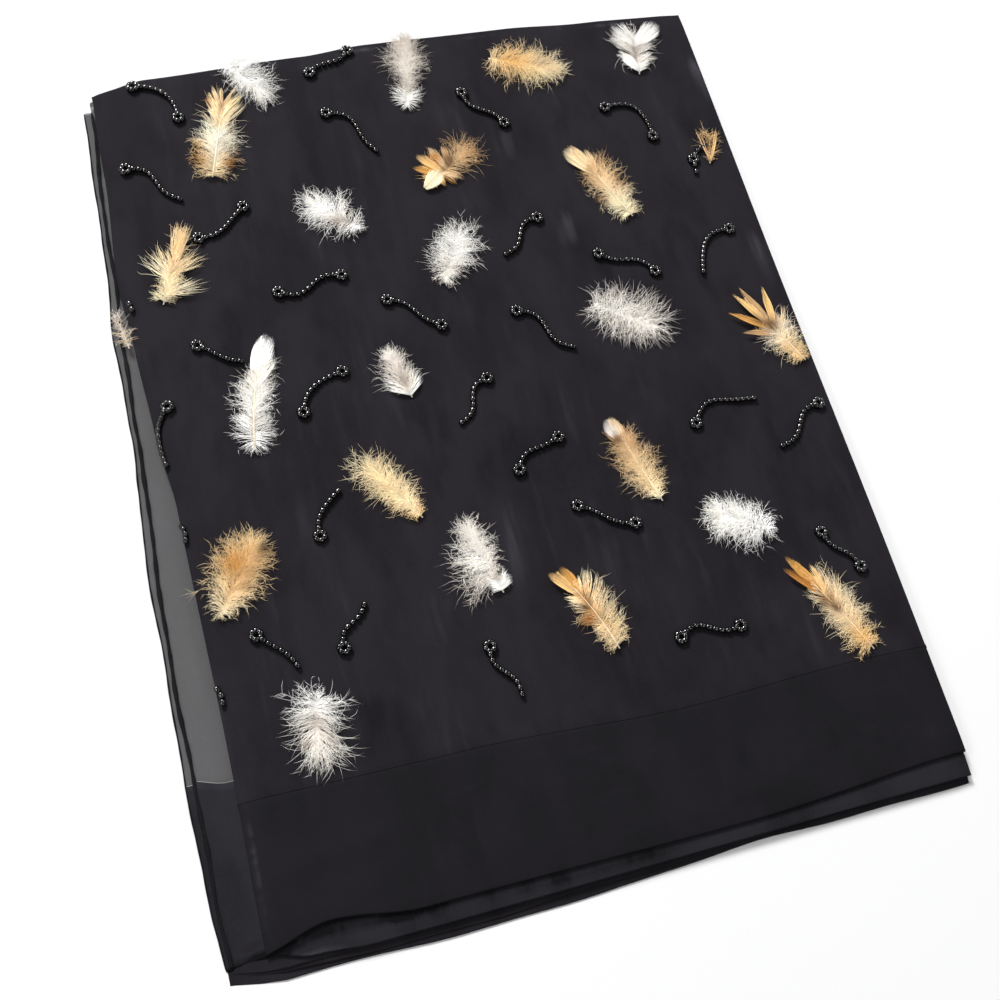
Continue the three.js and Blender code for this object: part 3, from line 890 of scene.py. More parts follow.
@dataclass(frozen=True)
class UnderPly:
    """The sheer ply that shows beside the fold, with its end band and its rolled hem."""

    hem_width: float = 3.3
    right: float = 174.0
    setback: float = 1.2
    seam: float = 0.15
    near_end: float = -219.3
    far_end: float = 213.0
    band_seam: float = -141.0

    def _height(self, x: Array, y: Array) -> Array:
        """Top of the ply, a little lower where it lies on the table."""
        return STACK.under_top(x, y) - 0.35 * (1 - smooth((x + 163) / 12))

    def _ply(self, near: Edge, far: Edge, **turns: object) -> Ply:
        """A stretch of the ply between two ends."""
        straight = (Stop(-1, self.right), Stop(1, self.right))
        return Ply(left=edge(SIDE_EDGE, self.hem_width), right=edge(straight), near=near, far=far,
                   height=creased(self._height, STRIP_CREASES), thickness=0.25, step_x=3.2, step_y=3.6,
                   turn_right=Turn(0.6, 2.0), **turns)

    def _roll(self, finish: bpy.types.Material) -> bpy.types.Object:
        """The rolled hem, and the thin sewn thread on the outermost edge."""
        parts = Parts()
        y = np.linspace(self.near_end, self.far_end, 300)
        out = follow(SIDE_EDGE, y)
        for inset, wide, high, up in ((3.3, 0.85, 0.5, 0.75), (0.05, 0.34, 0.3, 0.42)):
            wander = 0.35 * np.sin(y / 19 + inset) + 0.2 * np.sin(y / 7.3)
            roll = np.stack([out + inset + wander, y, up + 0.08 * np.sin(y / 3.1)], axis=1)
            half = wide * (1 + 0.16 * np.sin(y / 2.3) + 0.12 * np.sin(y / 9.1 + 1))
            half[[0, -1]] *= 0.5
            points, quads = tube(roll, half, half * high / wide)
            parts.add(points, quads, cap_fans(len(y), 10))
        return parts.piece("silk_side_hem", finish)

    def _lip(self, name: str, low: float, high: float, finish: bpy.types.Material) -> bpy.types.Object:
        """The narrow single ply outside the rolled hem, between two places along it."""
        y = np.linspace(low, high, max(20, round((high - low) / 2)))
        out = follow(SIDE_EDGE, y)
        lip = np.linspace(0.0, 1.0, 5)
        wander = 0.35 * np.sin(y / 19 + 0.05) + 0.2 * np.sin(y / 7.3)
        reach = (out + wander)[:, None] + lip * (3.4 - wander)[:, None]
        up = 0.38 + 0.3 * np.sin(y / 15)[:, None] ** 2 * np.sin(math.pi * lip) + 0.1 * lip
        grid = np.stack([reach, np.repeat(y[:, None], 5, axis=1), up], axis=2)
        points, quads = thicken(grid, 0.2)
        return make_piece(name, points, [quads], finish)

    def build(self, sheer: bpy.types.Material, band: bpy.types.Material,
              hem: bpy.types.Material) -> list[bpy.types.Object]:
        """Makes the ply, its end band and its hem."""
        panel = self._ply(edge(UNDER_SEAM, self.seam), edge(FAR_EDGE, -self.setback), turn_far=Turn(0.5, 2.0))
        end = self._ply(edge(UNDER_END), edge(UNDER_SEAM, -self.seam), turn_near=Turn(0.6, 2.0))
        made = [panel.piece("silk_under_panel", sheer), end.piece("silk_under_end_band", band),
                self._roll(hem), self._lip("silk_side_lip", self.band_seam, self.far_end, sheer),
                self._lip("silk_side_lip_end", -219.7, -141.3, band)]
        nodes = ("under_panel", "under_end_band", "side_hem", "side_hem", "side_hem")
        slots = ("sheer_silk", "band_silk", "band_silk", "sheer_silk", "band_silk")
        for piece, node, slot in zip(made, nodes, slots):
            shade(piece, END_PATCHES + STRIP_PATCHES)
            dress(piece, node)
        return made


@dataclass(frozen=True)
class UpperPly:
    """The ply on top, which carries the trimming, and its end band."""

    seam: float = 0.04
    sewn: Turn = Turn(0.22, 0.6)

    def build(self, silk: bpy.types.Material, band: bpy.types.Material) -> list[bpy.types.Object]:
        """Makes the panel and the end band."""
        sides = {"left": edge(UPPER_FOLD), "right": edge(RIGHT_EDGE), "turn_left": Turn(0.8, 4.0),
                 "turn_right": Turn(0.6, 2.0), "thickness": 0.3}
        panel = Ply(near=edge(UPPER_SEAM, self.seam), far=edge(FAR_EDGE),
                    height=creased(STACK.upper_top, PANEL_CREASES), step_x=2.0, step_y=3.0,
                    turn_far=Turn(0.6, 2.0), turn_near=self.sewn, **sides)
        end = Ply(near=edge(UPPER_END), far=edge(UPPER_SEAM, -self.seam),
                  height=creased(STACK.upper_top, BAND_CREASES), step_x=2.2, step_y=2.2,
                  turn_near=Turn(0.8, 8.0), turn_far=self.sewn, **sides)
        made = [panel.piece("silk_upper_panel", silk), end.piece("silk_upper_end_band", band)]
        for piece, node, slot in zip(made, ("upper_panel", "upper_end_band"), ("black_silk", "band_silk")):
            shade(piece, PATCHES)
            dress(piece, node)
        return made


# ---------- feathers ----------
class Stretch(NamedTuple):
    """The barbs at one place along a feather's shaft, eased from one row to the next.

    Barbs leave the shaft at an angle towards the tip, in degrees, and reach out on its left
    and right by millimetres. Fluff is 0 for a flat vane and 1 for down, split is how far the
    barbs part into points, and the two colours are those beside the shaft and at the ends.
    """

    at: float
    angle: float
    left: float
    right: float
    fluff: float
    split: float
    inner: str
    outer: str


class Spot(NamedTuple):
    """A place on a feather with its own colour, in millimetres along and to the left."""

    along: float
    across: float
    reach: float
    colour: str


class Blade(NamedTuple):
    """A bunch of barbs that stands apart from the rest.

    It leaves the shaft at a share of the feather's length, turned by degrees from it. Its
    length and width are in millimetres. Fluff is 0 for a vane and 1 for frayed ends, and
    point is how far its sides close at the tip.
    """

    along: float
    turn: float
    length: float
    width: float
    fluff: float
    point: float
    colour: str


class Barbs(NamedTuple):
    """Many barbs as lines of along, across and up, with their half widths and colours."""

    lines: Array
    half: Array
    dyes: Array


def spikes(barbs: Barbs) -> tuple[Array, Array, Array, Array]:
    """Slim three-sided spikes along many lines.

    Args:
        barbs: Their lines, half widths and colours; the last station of each is its tip.

    Returns:
        The points, the four-sided and the three-sided faces, and the points' colours.
    """
    lines, half, dyes = barbs
    count, stations = lines.shape[:2]
    rings = stations - 1
    heading = np.gradient(lines, axis=1)[..., :2]
    heading /= np.maximum(np.linalg.norm(heading, axis=2, keepdims=True), 1e-9)
    side = np.stack([-heading[..., 1], heading[..., 0], np.zeros((count, stations))], axis=2)
    left = lines + side * half[..., None]
    right = lines - side * half[..., None]
    top = lines + np.array([0.0, 0.0, 0.9]) * half[..., None]
    body = np.stack([left, right, top], axis=2)[:, :rings].reshape(count, rings * 3, 3)
    points = np.concatenate([body, lines[:, -1:]], axis=1)
    colours = np.concatenate([np.repeat(dyes[:, :rings], 3, axis=1), dyes[:, -1:]], axis=1)
    each = rings * 3 + 1
    ring = np.arange(rings - 1)[:, None] * 3
    walls = np.concatenate([ring + [0, 2, 5, 3], ring + [2, 1, 4, 5], ring + [1, 0, 3, 4]])
    last, tip = (rings - 1) * 3, rings * 3
    ends = np.array([[0, 1, 2], [last, last + 2, tip], [last + 2, last + 1, tip], [last + 1, last, tip]])
    start = (np.arange(count) * each)[:, None, None]
    return (points.reshape(-1, 3), (walls[None] + start).reshape(-1, 4),
            (ends[None] + start).reshape(-1, 3), colours.reshape(-1, 3))


def bowed(start: Array, angle: Array, curl: Array, length: Array, stations: int) -> tuple[Array, Array]:
    """Lines that leave their starts at an angle and bend evenly.

    Args:
        start: Where each line starts, as along and across.
        angle: Its first angle, in degrees.
        curl: How far it turns from start to end, in degrees.
        length: Its length.
        stations: How many points it has.

    Returns:
        The points along and across for each line.
    """
    s = np.linspace(0, 1, stations)[None, 1:]
    turn = np.radians(angle[:, None] + curl[:, None] * (s - 0.5 / (stations - 1)))
    step = (length / (stations - 1))[:, None]
    zero = np.zeros((len(angle), 1))
    along = start[:, :1] + np.concatenate([zero, np.cumsum(np.cos(turn) * step, axis=1)], axis=1)
    across = start[:, 1:] + np.concatenate([zero, np.cumsum(np.sin(turn) * step, axis=1)], axis=1)
    return along, across


@dataclass(frozen=True)
class Feather:
    """One feather, sewn down flat, with its shaft, barbs, down and loose blades."""

    x: float
    y: float
    heading: float
    length: float
    rows: tuple[Stretch, ...]
    bow: float = 0.0
    wisps: int = 20
    lift: float = 1.0
    shaft: bool = False
    blades: tuple[Blade, ...] = ()
    spots: tuple[Spot, ...] = ()
    spacing: float = 0.30
    full: float = 1.28
    bunches: int = 40
    tip: float = 0.97
    stray: float = 13.0
    vane_curl: float = -14.0
    down_curl: float = 68.0
    down_share: float = 6.0

    @property
    def shaft_length(self) -> float:
        """The shaft's length, which stops short of the barbs at its tip."""
        last = self.rows[-1]
        return self.length - 0.42 * self.full * (last.left + last.right)

    def _place(self, local: Array) -> Array:
        """Puts points given as along, across and up onto the cloth."""
        turn = math.radians(self.heading)
        part = local[..., 0] / self.length
        across = local[..., 1] + self.bow * 4 * part * (1 - part)
        x = self.x + local[..., 0] * math.cos(turn) - across * math.sin(turn)
        y = self.y + local[..., 0] * math.sin(turn) + across * math.cos(turn)
        return np.stack([x, y, STACK.upper_top(x, y) + local[..., 2]], axis=-1)

    def _spotted(self, barbs: Barbs) -> Barbs:
        """The barbs with the feather's spots dyed in."""
        dyes = barbs.dyes
        for spot in self.spots:
            away = (barbs.lines[..., 0] - spot.along) ** 2 + (barbs.lines[..., 1] - spot.across) ** 2
            share = np.exp(-away / spot.reach ** 2)[..., None]
            dyes = dyes + (np.array(tone(spot.colour)) - dyes) * share
        return barbs._replace(dyes=dyes)

    def _read(self, column: str, part: Array) -> Array:
        """A column of the rows, at places along the shaft."""
        keys = [row.at for row in self.rows]
        values = [getattr(row, column) for row in self.rows]
        if isinstance(values[0], str):
            dyes = np.array([tone(v) for v in values])
            return np.stack([np.interp(part, keys, dyes[:, k]) for k in range(3)], axis=-1)
        return np.interp(part, keys, values)

    def _barbs(self, rng: np.random.Generator, layer: int, side: int) -> list[Barbs]:
        """One layer of barbs on one side, with the down on them."""
        count = max(16, round(self.shaft_length / self.spacing))
        start = (np.arange(count) + rng.uniform(-0.5, 0.5, count)) / count * self.tip
        start = np.clip(start, 0.0, self.tip)
        fluff, split = self._read("fluff", start), self._read("split", start)
        groups = self.bunches + 1
        edges = np.cumsum(rng.uniform(2.2, 4.6, self.bunches)) + rng.uniform(-2, 0)
        group = np.searchsorted(edges, start * self.shaft_length)
        tilt, stretch = rng.normal(0, 9, groups)[group], rng.uniform(0.8, 1.18, groups)[group]
        uneven = np.maximum(fluff, split)
        reach = self.full * self._read("left" if side > 0 else "right", start)
        reach = reach * (1 + (stretch - 1) * uneven)
        reach = reach * (1 - rng.uniform(0, 0.45, count) * fluff) * (1 - 0.15 * layer)
        angle = self._read("angle", start) + tilt * uneven + rng.normal(0, self.stray, count) * fluff
        curl = rng.normal(self.vane_curl, 5, count) + rng.normal(0, self.down_curl, count) * fluff
        root = np.stack([start * self.shaft_length, -rng.uniform(0, 2.2, count) * fluff], axis=1)
        along, across = bowed(root, angle, curl, reach, 4)
        s = np.linspace(0, 1, 4)[None]
        size = np.maximum(np.bincount(group, minlength=groups), 1)
        pull = (split ** 1.5 * 0.85)[:, None] * s ** 1.1
        for line in (along, across):
            sums = [np.bincount(group, line[:, k], groups) / size for k in range(4)]
            line += (np.stack(sums, axis=1)[group] - line) * pull
        rise = 0.45 + 0.5 * layer + self.lift * np.sin(np.clip(s * 0.85 + 0.08, 0, 1) * math.pi)
        rise = rise + (fluff * rng.uniform(-0.2, 1.2, count))[:, None] * s
        rise = rise + rng.uniform(0, 0.15, count)[:, None]
        lines = np.stack([along, side * across, np.maximum(rise, 0.35)], axis=2)
        thick = 0.10 + 0.08 * (1 - np.clip(fluff * 1.6, 0, 1))
        half = thick[:, None] * np.array([[1.0, 0.95, 0.75, 0.0]])
        bright = (0.97 + rng.normal(0, 0.08, count) + rng.normal(0, 0.11, groups)[group])[:, None, None]
        inner, outer = self._read("inner", start)[:, None], self._read("outer", start)[:, None]
        dyes = (inner + (outer - inner) * (s ** 0.8)[..., None]) * bright
        return [Barbs(lines, half, dyes), self._down(rng, lines, reach, fluff - 0.4 * split, dyes)]

    def _down(self, rng: np.random.Generator, lines: Array, reach: Array, fluff: Array, dyes: Array) -> Barbs:
        """Fine threads of down that leave the barbs to either side."""
        chance = np.clip(fluff, 0, 1)
        wanted = round(float(chance.sum()) * self.down_share) + 1
        which = rng.choice(len(lines), wanted, p=(chance + 1e-6) / (chance + 1e-6).sum())
        where = rng.uniform(0.1, 0.98, wanted) * 2.999
        low = where.astype(int)
        share = (where - low)[:, None]
        here, onward = lines[which, low], lines[which, low + 1]
        root = here + (onward - here) * share
        heading = np.degrees(np.arctan2(onward[:, 1] - here[:, 1], onward[:, 0] - here[:, 0]))
        angle = heading + rng.choice([-1, 1], wanted) * rng.uniform(12, 62, wanted)
        length = reach[which] * rng.uniform(0.14, 0.40, wanted)
        along, across = bowed(root[:, :2], angle, rng.normal(0, 40, wanted), length, 3)
        rise = root[:, 2:] + rng.uniform(-0.5, 0.9, wanted)[:, None] * np.array([[0, 0.5, 1.0]])
        fine = np.stack([along, across, np.maximum(rise, 0.3)], axis=2)
        half = np.repeat(np.array([[0.075, 0.06, 0.0]]), wanted, axis=0)
        return Barbs(fine, half, np.repeat(dyes[which, low][:, None], 3, axis=1))

    def _wisps(self, rng: np.random.Generator) -> Barbs:
        """Long fine threads that stand out past the rest."""
        count = self.wisps
        start = rng.uniform(0.1, 0.95, count)
        side = rng.choice([-1, 1], count)
        reach = np.where(side > 0, self._read("left", start), self._read("right", start))
        reach = reach * rng.uniform(1.1, 1.5, count)
        angle = self._read("angle", start) + rng.normal(0, 14, count)
        root = np.stack([start * self.shaft_length, np.zeros(count)], axis=1)
        along, across = bowed(root, angle, rng.normal(0, 55, count), reach, 6)
        rise = 0.9 + rng.uniform(0.2, 2.0, count)[:, None] * np.linspace(0, 1, 6)
        lines = np.stack([along, side[:, None] * across, rise], axis=2)
        half = np.repeat(np.array([[0.07, 0.07, 0.065, 0.06, 0.05, 0.0]]), count, axis=0)
        return Barbs(lines, half, np.repeat(self._read("outer", start)[:, None], 6, axis=1))

    def _blade(self, rng: np.random.Generator, blade: Blade) -> Barbs:
        """One bunch of barbs that closes to a point, or frays where it is downy."""
        count = max(9, round(blade.width / 0.36))
        fan = np.linspace(-1, 1, count)
        s = np.linspace(0, 1, 6)[None]
        length = (blade.length * (1 - 0.22 * fan ** 2 - rng.uniform(0, 0.4, count) * blade.fluff))[:, None]
        open_out = 0.18 + 0.82 * s ** 0.75
        close = 1 - blade.point * s ** 3
        sideways = fan[:, None] * blade.width / 2 * open_out * close
        stray = np.cumsum(rng.normal(0, 0.9, (count, 6)) * blade.fluff, axis=1) * s
        turn = math.radians(blade.turn)
        lean = -math.copysign(0.10, blade.turn) * blade.length * s ** 2
        aside = sideways + stray + lean
        along = blade.along * self.length + length * s * math.cos(turn) - aside * math.sin(turn)
        across = length * s * math.sin(turn) + aside * math.cos(turn)
        rise = 1.5 + self.lift * 0.6 * np.sin(s * math.pi * 0.8) + rng.uniform(0, 0.3, count)[:, None]
        wide = 0.2 - 0.09 * blade.fluff
        half = np.repeat(wide * np.array([[1.0, 1.05, 1.0, 0.9, 0.6, 0.0]]), count, axis=0)
        bright = (0.88 + 0.12 * np.abs(fan) + rng.normal(0, 0.12, count))[:, None, None]
        dyes = np.array(tone(blade.colour)) * bright * (0.9 + 0.15 * s)[..., None]
        return Barbs(np.stack([along, across, rise], axis=2), half, dyes)

    def _quill(self) -> Barbs:
        """The shaft, which narrows to the tip and shows where the barbs leave it bare."""
        s = np.linspace(-0.04, 0.93, 9)
        up = 1.5 + 0.6 * self.lift if self.shaft else 0.7
        lines = np.stack([s * self.shaft_length, 0 * s, up + 0 * s], axis=1)[None]
        return Barbs(lines, np.linspace(0.36, 0.14, 9)[None], np.tile(tone("f6ead2"), (1, 9, 1)))

    def build(self, number: int, finish: bpy.types.Material, slot: str) -> bpy.types.Object:
        """Makes the feather.

        Args:
            number: The feather's number, from 1, which also seeds its barbs.
            finish: The material of its barbs.
            slot: Not used.

        Returns:
            The finished piece.
        """
        rng = np.random.default_rng(900 + number)
        bunches = [b for layer in range(2) for side in (-1, 1) for b in self._barbs(rng, layer, side)]
        bunches += [self._blade(rng, blade) for blade in self.blades]
        bunches += [self._wisps(rng)] if self.wisps else []
        parts, dyes = Parts(), []
        for bunch in bunches + [self._quill()]:
            bunch = self._spotted(bunch)
            points, quads, tris, tints = spikes(bunch._replace(lines=self._place(bunch.lines)))
            parts.add(points, quads, tris)
            dyes.append(tints)
        piece = parts.piece(f"feather_{number:02d}_barbs", finish)
        layer = piece.data.attributes.new("dye", "FLOAT_COLOR", "POINT")
        tints = np.clip(np.concatenate(dyes), 0, 1)
        opaque = np.concatenate([tints, np.ones((len(tints), 1))], axis=1)
        layer.data.foreach_set("color", opaque.astype(np.float32).ravel())
        dress(piece, f"feather_{number:02d}")
        return piece


SNOW, WHITE, PEARL, ASH = "fdfbf7", "faf7f0", "eee7df", "cbc0b5"
CREAM, BUFF, SAND, TAN = "fdefcf", "f8e4bb", "ebcfa4", "cfaa7c"
GOLD, AMBER, RUST, UMBER = "efc888", "d6a259", "b97e3c", "705033"

FEATHERS = (
    Feather(-105, 159, 73, 57, (
        Stretch(0.00, 100, 7, 7, 0.5, 0.2, BUFF, SAND), Stretch(0.12, 70, 12, 12, 0.6, 0.3, CREAM, SAND),
        Stretch(0.30, 52, 13, 12, 0.85, 0.3, WHITE, CREAM), Stretch(0.50, 44, 11, 13, 0.9, 0.3, WHITE, CREAM),
        Stretch(0.62, 42, 13, 15, 0.4, 1.0, BUFF, CREAM), Stretch(0.84, 36, 13, 15, 0.3, 1.0, SAND, BUFF),
        Stretch(1.00, 20, 10, 11, 0.3, 1.0, TAN, SAND)), wisps=50, lift=1.4, shaft=True,
        spots=(Spot(8, 10, 5, AMBER), Spot(16, 12, 5, GOLD), Spot(8, -9, 4, RUST), Spot(13, -11, 3, UMBER),
               Spot(46, 9, 4, AMBER))),
    Feather(-84, 226, -58, 35, (
        Stretch(0.0, 100, 15.6, 6.5, 0.8, 0.2, SNOW, WHITE),
        Stretch(0.3, 64, 18.2, 10.4, 0.85, 0.2, SNOW, SNOW),
        Stretch(0.65, 42, 15.6, 11.7, 0.6, 0.4, SNOW, WHITE),
        Stretch(1.0, 22, 10.4, 10.4, 0.6, 0.4, SNOW, WHITE)),
        wisps=16, lift=1.6),
    Feather(4, 187, 77, 52, (
        Stretch(0.0, 168, 4.12, 4.12, 0.12, 0.1, SNOW, WHITE),
        Stretch(0.05, 100, 7.5, 7.5, 0.12, 0.1, SNOW, WHITE),
        Stretch(0.1, 70, 9.5, 9, 0.2, 0.2, SNOW, WHITE),
        Stretch(0.2, 42, 7.84, 7.84, 0.8, 0.3, PEARL, ASH),
        Stretch(0.45, 46, 14.56, 13.44, 0.95, 0.3, WHITE, ASH),
        Stretch(0.75, 34, 15.68, 14.56, 0.95, 0.35, PEARL, ASH),
        Stretch(1.0, 14, 11.2, 10.08, 0.95, 0.4, PEARL, ASH)),
        wisps=70, lift=1.3),
    Feather(57, 210, -23, 45, (
        Stretch(0.0, 98, 7.2, 8.4, 0.5, 0.2, BUFF, SAND), Stretch(0.2, 58, 14.4, 14.4, 0.7, 0.3, GOLD, SAND),
        Stretch(0.45, 48, 16.8, 16.8, 0.8, 0.4, GOLD, BUFF),
        Stretch(0.75, 38, 15.6, 15.6, 0.85, 0.5, SAND, CREAM),
        Stretch(1.0, 15, 10.8, 10.8, 0.85, 0.5, SAND, CREAM)),
        wisps=30, lift=1.5, spots=(Spot(12, 0, 5, GOLD),)),
    Feather(138, 188, 80, 36, (
        Stretch(0.0, 64, 6, 6, 0.3, 0.3, SNOW, WHITE), Stretch(0.25, 78, 12, 9, 0.35, 1.0, PEARL, WHITE),
        Stretch(0.5, 74, 15, 13, 0.4, 1.0, ASH, WHITE), Stretch(0.8, 70, 13, 13, 0.7, 0.4, WHITE, SNOW),
        Stretch(1.0, 50, 9, 9, 0.7, 0.2, WHITE, SNOW)), wisps=20, lift=1.4,
        blades=(Blade(0.52, -50, 22, 13, 0.1, 0.1, SNOW), Blade(0.55, 54, 18, 12, 0.5, 0.1, SNOW),
                Blade(0.02, 46, 14, 8, 0.0, 0.2, SNOW))),
    Feather(3, 135, 35, 43, (
        Stretch(0.0, 120, 2, 2, 0.1, 0.2, BUFF, SAND), Stretch(0.2, 128, 8, 5, 0.1, 1.0, GOLD, GOLD),
        Stretch(0.36, 96, 12, 8, 0.1, 1.0, TAN, AMBER), Stretch(0.52, 74, 10, 9, 0.2, 1.0, TAN, SAND),
        Stretch(0.72, 52, 13, 13, 0.9, 0.6, SAND, TAN), Stretch(1.0, 24, 14, 14, 1.0, 0.5, TAN, TAN)),
        wisps=80, lift=1.5, spacing=0.42, blades=(
            Blade(-0.08, -2, 15, 12, 0.0, 0.25, CREAM), Blade(0.26, 106, 17, 6, 0.0, 0.1, GOLD),
            Blade(0.33, 86, 16, 5, 0.0, 0.1, SAND), Blade(0.20, 126, 15, 5, 0.0, 0.2, AMBER),
            Blade(0.40, 70, 13, 4, 0.0, 0.2, TAN), Blade(0.24, -72, 10, 5, 0.1, 0.3, SAND)),
        spots=(Spot(15, 9, 3.0, RUST), Spot(19, 3, 3, UMBER))),
    Feather(104, 99, 112, 50, (
        Stretch(0.0, 100, 7, 7, 0.4, 0.2, CREAM, BUFF), Stretch(0.12, 64, 10, 10, 0.7, 0.3, CREAM, CREAM),
        Stretch(0.3, 55, 12, 14, 0.9, 0.3, CREAM, SAND), Stretch(0.52, 50, 12, 16, 0.95, 0.4, SAND, TAN),
        Stretch(0.65, 44, 7, 12, 0.8, 0.6, SAND, TAN), Stretch(0.76, 32, 2.5, 4, 0.3, 0.9, SAND, SAND),
        Stretch(1.0, 20, 1.5, 1.5, 0.1, 0.9, SAND, SAND)), wisps=60, lift=1.5, shaft=True, blades=(
            Blade(0.60, 20, 22, 11, 0.02, 0.0, BUFF), Blade(0.62, -1, 21, 7, 0.02, 0.0, SAND),
            Blade(0.58, -22, 17, 5, 0.05, 0.05, SAND)), spots=(Spot(20, -9, 5, TAN), Spot(16, 9, 4, TAN))),
    Feather(159, 124, 72, 26, (
        Stretch(0.0, 50, 5, 4, 0.9, 0.4, GOLD, SAND), Stretch(0.5, 66, 9, 7, 0.95, 0.6, UMBER, TAN),
        Stretch(1.0, 60, 8, 6, 0.9, 0.4, GOLD, SAND)), wisps=22, lift=1.0, spacing=1.9,
        blades=(Blade(0.0, 28, 22, 3, 0.3, 0.5, TAN), Blade(0.0, -14, 24, 3, 0.3, 0.5, GOLD))),
    Feather(-40, 116, 139, 36, (
        Stretch(0.0, 168, 4.12, 4.12, 0.6, 0.3, SNOW, WHITE),
        Stretch(0.07, 110, 7.5, 7.5, 0.6, 0.3, SNOW, WHITE),
        Stretch(0.12, 96, 12, 10.8, 0.7, 0.3, SNOW, SNOW),
        Stretch(0.22, 60, 8.4, 7.2, 0.5, 0.9, ASH, WHITE),
        Stretch(0.42, 66, 15.6, 14.4, 0.9, 0.5, WHITE, SNOW),
        Stretch(0.7, 50, 15.6, 15.6, 0.9, 0.4, SNOW, WHITE),
        Stretch(1.0, 26, 10.8, 10.8, 0.9, 0.4, WHITE, WHITE)),
        wisps=16, lift=1.7, spots=(Spot(11, 3, 2.5, ASH),)),
    Feather(-3, 78, 62, 38, (
        Stretch(0.0, 168, 4.4, 4.4, 0.95, 0.6, WHITE, PEARL),
        Stretch(0.07, 118, 8, 8, 0.95, 0.6, WHITE, PEARL), Stretch(0.25, 86, 13, 9, 0.95, 0.5, WHITE, PEARL),
        Stretch(0.5, 74, 12, 14, 0.9, 0.3, SNOW, SNOW), Stretch(0.85, 56, 12, 14, 0.9, 0.3, SNOW, WHITE),
        Stretch(1.0, 30, 10, 10, 0.9, 0.3, SNOW, WHITE)), wisps=24, lift=1.8),
    Feather(-142, 91, 67, 47, (
        Stretch(0.0, 80, 6, 6, 0.5, 0.3, CREAM, BUFF), Stretch(0.22, 46, 8, 9, 0.6, 0.5, CREAM, BUFF),
        Stretch(0.5, 36, 8, 8, 0.5, 0.8, SAND, SAND), Stretch(1.0, 16, 8, 8, 0.6, 0.9, TAN, BUFF)),
        wisps=30, lift=1.3, blades=(
            Blade(0.28, 62, 21, 11, 0.95, 0.0, CREAM), Blade(0.34, 48, 20, 8, 0.9, 0.1, BUFF),
            Blade(0.36, -52, 21, 10, 0.95, 0.0, BUFF), Blade(0.30, -36, 20, 7, 0.8, 0.1, SAND),
            Blade(0.10, -70, 23, 9, 0.8, 0.0, CREAM), Blade(0.50, 14, 24, 7, 0.4, 0.3, SAND),
            Blade(0.48, -12, 24, 6, 0.3, 0.4, SAND), Blade(0.48, 2, 20, 5, 0.1, 0.6, GOLD))),
    Feather(70, 50, -36, 46, (
        Stretch(0.0, 125, 12, 11, 1.0, 0.7, WHITE, PEARL), Stretch(0.3, 92, 15, 14, 1.0, 0.5, WHITE, PEARL),
        Stretch(0.6, 70, 17, 14, 1.0, 0.5, WHITE, PEARL), Stretch(1.0, 30, 15, 13, 1.0, 0.7, WHITE, PEARL)),
        wisps=170, lift=1.9, spacing=0.5),
    Feather(168, -1, 116, 46, (
        Stretch(0.0, 100, 5, 5, 0.7, 0.2, GOLD, SAND), Stretch(0.18, 70, 12, 10, 0.9, 0.3, SAND, BUFF),
        Stretch(0.38, 62, 12, 15, 0.95, 0.4, CREAM, PEARL), Stretch(0.5, 50, 7, 9, 0.3, 1.0, TAN, GOLD),
        Stretch(0.62, 40, 3, 3, 0.2, 1.0, TAN, GOLD), Stretch(1.0, 20, 1.5, 1.5, 0.2, 1.0, TAN, GOLD)),
        wisps=50, lift=1.4, shaft=True, spots=(Spot(24, 0, 4, UMBER), Spot(30, 3, 3, UMBER)), blades=(
            Blade(0.40, 60, 20, 5, 0.05, 0.7, TAN), Blade(0.46, 38, 26, 6, 0.05, 0.7, AMBER),
            Blade(0.50, 14, 27, 6, 0.05, 0.7, GOLD), Blade(0.52, -10, 27, 6, 0.05, 0.7, TAN),
            Blade(0.46, -36, 26, 6, 0.1, 0.7, GOLD), Blade(0.38, -58, 19, 5, 0.4, 0.5, SAND))),
    Feather(-115, 7, 75, 60, (
        Stretch(0.0, 168, 4.95, 4.95, 0.3, 0.2, SNOW, SNOW), Stretch(0.05, 100, 9, 9, 0.3, 0.2, SNOW, SNOW),
        Stretch(0.12, 66, 12, 12, 0.5, 0.3, SNOW, SNOW),
        Stretch(0.2, 66, 7.5, 7.5, 0.5, 0.6, PEARL, SNOW), Stretch(0.32, 52, 13, 12, 0.9, 0.4, SNOW, WHITE),
        Stretch(0.52, 48, 10, 14, 0.7, 0.9, WHITE, PEARL), Stretch(0.68, 40, 4, 11, 0.4, 1.0, ASH, WHITE),
        Stretch(0.8, 30, 2, 6, 0.3, 1.0, PEARL, SNOW), Stretch(1.0, 20, 1.5, 2, 0.2, 0.8, SNOW, SNOW)),
        bow=1.5, wisps=50, lift=1.6, shaft=True, blades=(
            Blade(0.56, 2, 26, 11, 0.03, 0.2, SNOW), Blade(0.56, -18, 25, 9, 0.1, 0.2, SNOW),
            Blade(0.50, -36, 18, 5, 0.2, 0.4, WHITE))),
    Feather(-36, 18, 102, 31, (
        Stretch(0.0, 64, 10, 9, 0.1, 0.1, WHITE, SNOW), Stretch(0.15, 56, 12, 11, 0.3, 0.6, PEARL, WHITE),
        Stretch(0.4, 50, 12, 11, 0.8, 0.7, ASH, PEARL), Stretch(0.7, 40, 10, 10, 0.85, 0.5, PEARL, PEARL),
        Stretch(1.0, 20, 7, 7, 0.85, 0.4, PEARL, WHITE)), wisps=12, lift=1.2, spots=(Spot(8, 0, 4, ASH),)),
    Feather(69, -60, 105, 49, (
        Stretch(0.0, 72, 5, 5, 0.5, 0.3, CREAM, BUFF), Stretch(0.15, 54, 12, 10, 0.85, 0.3, BUFF, SAND),
        Stretch(0.38, 48, 14, 13, 0.9, 0.4, BUFF, TAN), Stretch(0.6, 44, 12, 13, 0.9, 0.4, SAND, TAN),
